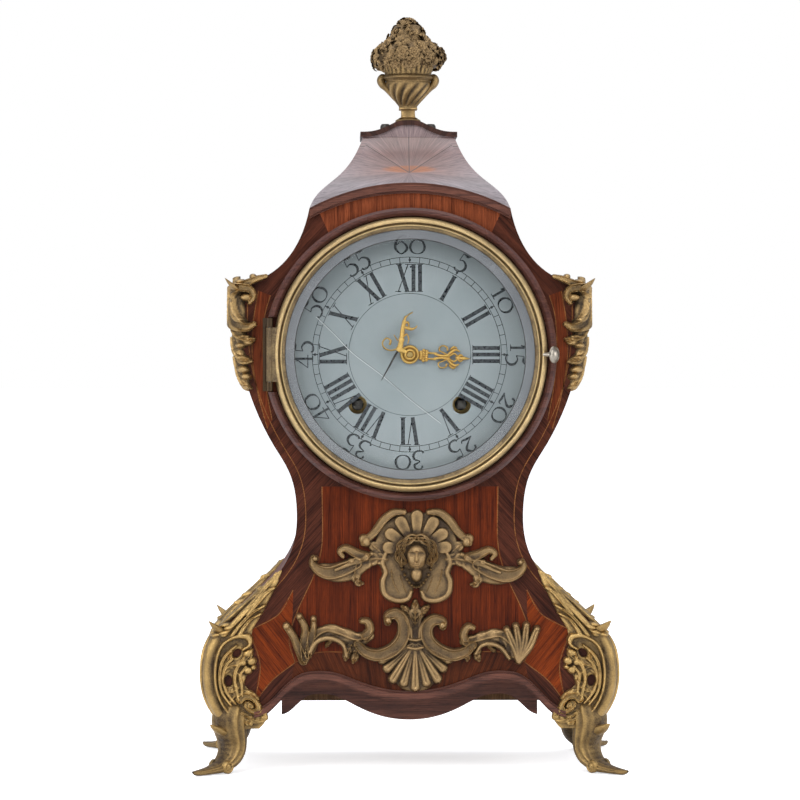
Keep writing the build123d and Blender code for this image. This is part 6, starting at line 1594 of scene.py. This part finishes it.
def make_flowers():
    """A heap of small flowers and leaves over a rounded core."""
    heap = Bundle()
    rng = random.Random(FLOWER_SEED)
    turns = circle(48)
    core = [np.stack([radius * np.cos(turns), radius * np.sin(turns), np.full_like(turns, z)], axis=1)
            for radius, z in FLOWER_CORE]
    heap.sheet(np.array(core), 0.5, wrap=True)
    around = circle(10)

    def frame_of(out):
        out = out / np.linalg.norm(out)
        first = np.cross(out, (0.2, 0.1, 1.0))
        first /= np.linalg.norm(first)
        return out, first, np.cross(out, first)

    def petal(middle, out, along, size, wide_share, rise):
        side = np.cross(out, along)
        grid, worn = [], []
        for t in np.linspace(0.08, 1, 6):
            lift = size * (0.16 + rise * t - 0.6 * t**3)
            wide = size * wide_share * math.sin(math.pi * min(1, 0.16 + 0.76 * t)) ** 0.8
            across = np.linspace(-1, 1, 5)
            grid.append([middle + along * size * t + side * wide * a + out * (lift + size * 0.16 * a * a)
                         for a in across])
            worn.append(0.42 + 0.22 * t + 0.1 * np.abs(across))
        heap.sheet(np.array(grid), np.array(worn))

    def bloom(middle, out, size, count, spin):
        out, first, second = frame_of(out)
        for layer, share in ((0, 1.0), (1, 0.62)):
            for index in range(count):
                angle = spin + 2 * math.pi * (index + 0.5 * layer) / count
                along = math.cos(angle) * first + math.sin(angle) * second
                petal(middle + out * 0.16 * size * layer, out, along, size * share, 0.62, 0.45 + 0.3 * layer)
        ring = np.outer(np.cos(around), first) + np.outer(np.sin(around), second)
        bead = [middle + out * (0.3 * size + 0.26 * size * math.sin(a)) + 0.24 * size * math.cos(a) * ring
                for a in np.linspace(-0.4, math.pi / 2, 5)]
        heap.sheet(np.array(bead), 0.75, wrap=True, flip=True)

    for ring, (lift, radius, count, size, look) in enumerate(FLOWER_RINGS):
        for index in range(count):
            angle = 2 * math.pi * (index + 0.5 * (ring % 2)) / count + rng.uniform(-0.14, 0.14)
            reach = radius + rng.uniform(-1.6, 0.4)
            spot = np.array((reach * math.cos(angle), reach * math.sin(angle), lift + rng.uniform(-1.4, 1.4)))
            out = np.array((math.cos(angle), math.sin(angle), look + rng.uniform(-0.25, 0.25)))
            if rng.random() < LEAF_SHARE:
                out, first, second = frame_of(out)
                spin = rng.uniform(0, 6)
                for turn in (-0.7, 0.0, 0.7):
                    along = math.cos(spin + turn) * first + math.sin(spin + turn) * second
                    petal(spot, out, along, size * 1.35, 0.34, 0.5)
            else:
                bloom(spot, out, size * rng.uniform(0.85, 1.2), rng.choice((5, 5, 6)), rng.uniform(0, 2))
    heap.piece("finial_flowers_cast", finish("gilt_flower"), slot="gilt", replaces=("finial_flowers",),
               sharp=60)


# Studio

FLOOR_SIZE, FLOOR_BACK = 30, 8
FLOOR_GLOW = (0.62, 0.62, 0.62, 1)
SENSOR_WIDTH = 36
# Each light's name, the setting of its power, its size, its place and what it looks at
LIGHTS = (
    ("key", "key_power", 1.6, (-0.5, -1.9, 1.9), (0, 0, 0.25)),
    ("left", "side_power", 1.2, (-1.7, -1.0, 0.7), (0, 0, 0.25)),
    ("right", "side_power", 1.2, (1.7, -1.0, 0.7), (0, 0, 0.25)),
    ("top", "key_power", 2.4, (0, 0.2, 2.4), (0, 0, 0)),
)
# The sky brightens upwards and towards the back
SKY_RISE, SKY_BEHIND = (0.1, 0.75), (0.1, 0.6)
SKY_DIM, SKY_BRIGHT = (0.2, 0.2, 0.21), (0.86, 0.9, 1.0)


def make_floor(context):
    """A white floor that looks brighter to the camera than the light on it makes it."""
    bpy.ops.mesh.primitive_plane_add(size=FLOOR_SIZE, location=(0, FLOOR_BACK, 0))
    floor = context.object
    floor.name = "floor"
    paint = Paint("floor_white")
    soft = paint.noise(paint.place((2, 2, 2)), 1.0, 2)
    floor.data.materials.append(paint.set(
        color=paint.mix(soft, (0.92, 0.92, 0.92), (0.95, 0.95, 0.95)), roughness=0.9, specular=0.0))
    glow = paint.node("Emission")
    glow.inputs["Color"].default_value = FLOOR_GLOW
    paint.link(paint.node("LightPath").outputs["Is Camera Ray"], glow.inputs["Strength"])
    both = paint.node("AddShader")
    paint.link(paint.shader.outputs[0], both.inputs[0])
    paint.link(glow.outputs[0], both.inputs[1])
    paint.link(both.outputs[0], paint.tree.nodes["Material Output"].inputs["Surface"])


def add_light(context, name, power, size, place, aim):
    """A square light that looks at a point."""
    lamp = bpy.data.lights.new(name, "AREA")
    lamp.energy = power
    lamp.size = size
    holder = bpy.data.objects.new(name + "_light", lamp)
    context.scene.collection.objects.link(holder)
    holder.location = place
    away = [a - b for a, b in zip(place, aim)]
    holder.rotation_euler = (math.atan2(math.hypot(away[0], away[1]), away[2]), 0,
                             math.atan2(away[1], away[0]) + math.pi / 2)


def make_sky(context, strength):
    """Soft light from all round, which the camera sees as plain white."""
    world = bpy.data.worlds.new("studio")
    context.scene.world = world
    world.use_nodes = True
    nodes = Nodes(world.node_tree)
    sky = nodes.tree.nodes["Background"]
    sky.inputs["Strength"].default_value = strength
    _, y, z = nodes.split(nodes.node("TexCoord").outputs["Generated"])
    share = nodes.math("MAXIMUM", nodes.spread(z, *SKY_RISE), nodes.spread(y, *SKY_BEHIND))
    nodes.link(nodes.mix(share, SKY_DIM, SKY_BRIGHT), sky.inputs["Color"])
    seen = nodes.node("Background")
    seen.inputs["Color"].default_value = (1, 1, 1, 1)
    nodes.choose("Is Camera Ray", sky, seen, "World Output")


# Operators

NODE_FINISHES = {
    "side_veneer": ("side_left", "side_right", "front_panel"),
    "edged_wood": ("back_frame",),
    "roof_veneer": ("roof",),
    "surround_wood": ("dial_surround",),
    "cap_wood": ("top_cap",),
    "moulding_wood": ("cornice_moulding", "apron_moulding", "apron_board"),
    "carcase_wood": ("back_door", "case_floor", "seat_board", "seat_rails"),
    "gilt_plain": ("bezel_ring", "hour_hand", "minute_hand"),
    "old_brass": ("bezel_hinge_leaf",),
    "brass": ("back_hinge_leaves", "back_door_leaves", "back_door_knob", "front_plate",
              "back_plate", "plate_pillars", "back_cock", "bell_stand", "going_barrel", "intermediate_wheel",
              "centre_wheel", "cannon_pinion", "third_wheel", "escape_wheel", "minute_wheel", "hour_wheel",
              "strike_barrel", "pin_wheel", "strike_third_wheel", "fly", "pendulum"),
    "bell_metal": ("bell",),
    "steel": ("hinge_pins", "seat_screws", "pallet_anchor", "hammer"),
    "dark_steel": ("cap_screws", "going_winding_arbor", "strike_winding_arbor"),
    "knob_metal": ("bezel_knob",),
    "enamel": ("dial",),
    "glass": ("bezel_glass",),
}


class ClockStageSettings(bpy.types.PropertyGroup):
    """Where the camera stands and how strong the lights are"""
    camera_x: bpy.props.FloatProperty(
        name="Camera across", description="Camera place across the front", default=-0.047, unit="LENGTH")
    camera_y: bpy.props.FloatProperty(
        name="Camera away", description="Camera place in front of the clock", default=-2.162, unit="LENGTH")
    camera_z: bpy.props.FloatProperty(
        name="Camera height", description="Camera height above the floor", default=0.28, unit="LENGTH")
    lens: bpy.props.FloatProperty(
        name="Lens", description="Focal length in millimetres on a 36 mm sensor", default=141.7)
    yaw: bpy.props.FloatProperty(
        name="Yaw", description="Turn of the camera to the side", default=math.radians(-1.1), subtype="ANGLE")
    pitch: bpy.props.FloatProperty(
        name="Pitch", description="Tilt of the camera down", default=math.radians(0.84), subtype="ANGLE")
    key_power: bpy.props.FloatProperty(
        name="Key light", description="Power of the large light above the front", default=30.0, unit="POWER")
    side_power: bpy.props.FloatProperty(
        name="Side lights", description="Power of each side light", default=16.0, unit="POWER")
    sky: bpy.props.FloatProperty(
        name="Sky", description="Strength of the soft light from all round", default=0.7)


class CLOCK_OT_cad_finishes(bpy.types.Operator):
    """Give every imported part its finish"""
    bl_idname = "clock.cad_finishes"
    bl_label = "Part finishes"

    def execute(self, context):
        for name, nodes in NODE_FINISHES.items():
            for node in nodes:
                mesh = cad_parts[node].data
                mesh.materials.clear()
                mesh.materials.append(finish(name))
        return {"FINISHED"}


class ClockSteps:
    """What the operators that make pieces share"""
    steps = ()

    def execute(self, context):
        for step in self.steps:
            step()
        return {"FINISHED"}


class CLOCK_OT_veneer(ClockSteps, bpy.types.Operator):
    """Lay the veneer and its stringing on the front"""
    bl_idname = "clock.veneer"
    bl_label = "Front veneer"
    steps = (make_veneer, make_stringing)


class CLOCK_OT_dial(ClockSteps, bpy.types.Operator):
    """Paint the dial's marks, turn the bezel and cut the hands"""
    bl_idname = "clock.dial"
    bl_label = "Dial, bezel and hands"
    steps = (make_dial_marks, make_bezel_ring, make_knob, make_glass_edge, make_hands)


class CLOCK_OT_mounts(ClockSteps, bpy.types.Operator):
    """Cast the gilt mounts on the front, the shoulders and the feet"""
    bl_idname = "clock.mounts"
    bl_label = "Gilt mounts"
    steps = (make_mask, make_apron_mount, make_feet, make_shoulders)


class CLOCK_OT_finial(ClockSteps, bpy.types.Operator):
    """Cast the urn and flowers on top"""
    bl_idname = "clock.finial"
    bl_label = "Finial"
    steps = (make_urn, make_flowers)


class CLOCK_OT_stage(bpy.types.Operator):
    """Set up the floor, the lights and the camera"""
    bl_idname = "clock.stage"
    bl_label = "Studio"

    def execute(self, context):
        settings = context.scene.clock_stage
        make_floor(context)
        for name, power, size, place, aim in LIGHTS:
            add_light(context, name, getattr(settings, power), size, place, aim)
        camera = bpy.data.objects.new("camera", bpy.data.cameras.new("camera"))
        context.scene.collection.objects.link(camera)
        camera.data.lens = settings.lens
        camera.data.sensor_width = SENSOR_WIDTH
        camera.location = (settings.camera_x, settings.camera_y, settings.camera_z)
        camera.rotation_euler = (math.pi / 2 - settings.pitch, 0, settings.yaw)
        context.scene.camera = camera
        make_sky(context, settings.sky)
        context.scene.view_settings.view_transform = "Standard"
        return {"FINISHED"}


class CLOCK_PT_panel(bpy.types.Panel):
    """The clock's pieces in the order they are made"""
    bl_idname = "CLOCK_PT_panel"
    bl_label = "Mantel clock"
    bl_space_type = "VIEW_3D"
    bl_region_type = "UI"
    bl_category = "Clock"

    def draw(self, context):
        for operator in OPERATORS:
            self.layout.operator(operator.bl_idname)
        for name in ClockStageSettings.__annotations__:
            self.layout.prop(context.scene.clock_stage, name)


OPERATORS = (CLOCK_OT_cad_finishes, CLOCK_OT_veneer, CLOCK_OT_dial, CLOCK_OT_mounts, CLOCK_OT_finial,
             CLOCK_OT_stage)
CLASSES = (ClockStageSettings, *OPERATORS, CLOCK_PT_panel)


def register():
    for cls in CLASSES:
        bpy.utils.register_class(cls)
    bpy.types.Scene.clock_stage = bpy.props.PointerProperty(type=ClockStageSettings)


def unregister():
    del bpy.types.Scene.clock_stage
    for cls in reversed(CLASSES):
        bpy.utils.unregister_class(cls)


def main():
    register()
    for operator in (bpy.ops.clock.cad_finishes, bpy.ops.clock.veneer, bpy.ops.clock.dial,
                     bpy.ops.clock.mounts, bpy.ops.clock.finial, bpy.ops.clock.stage):
        operator()


if __name__ == "__main__":
    main()
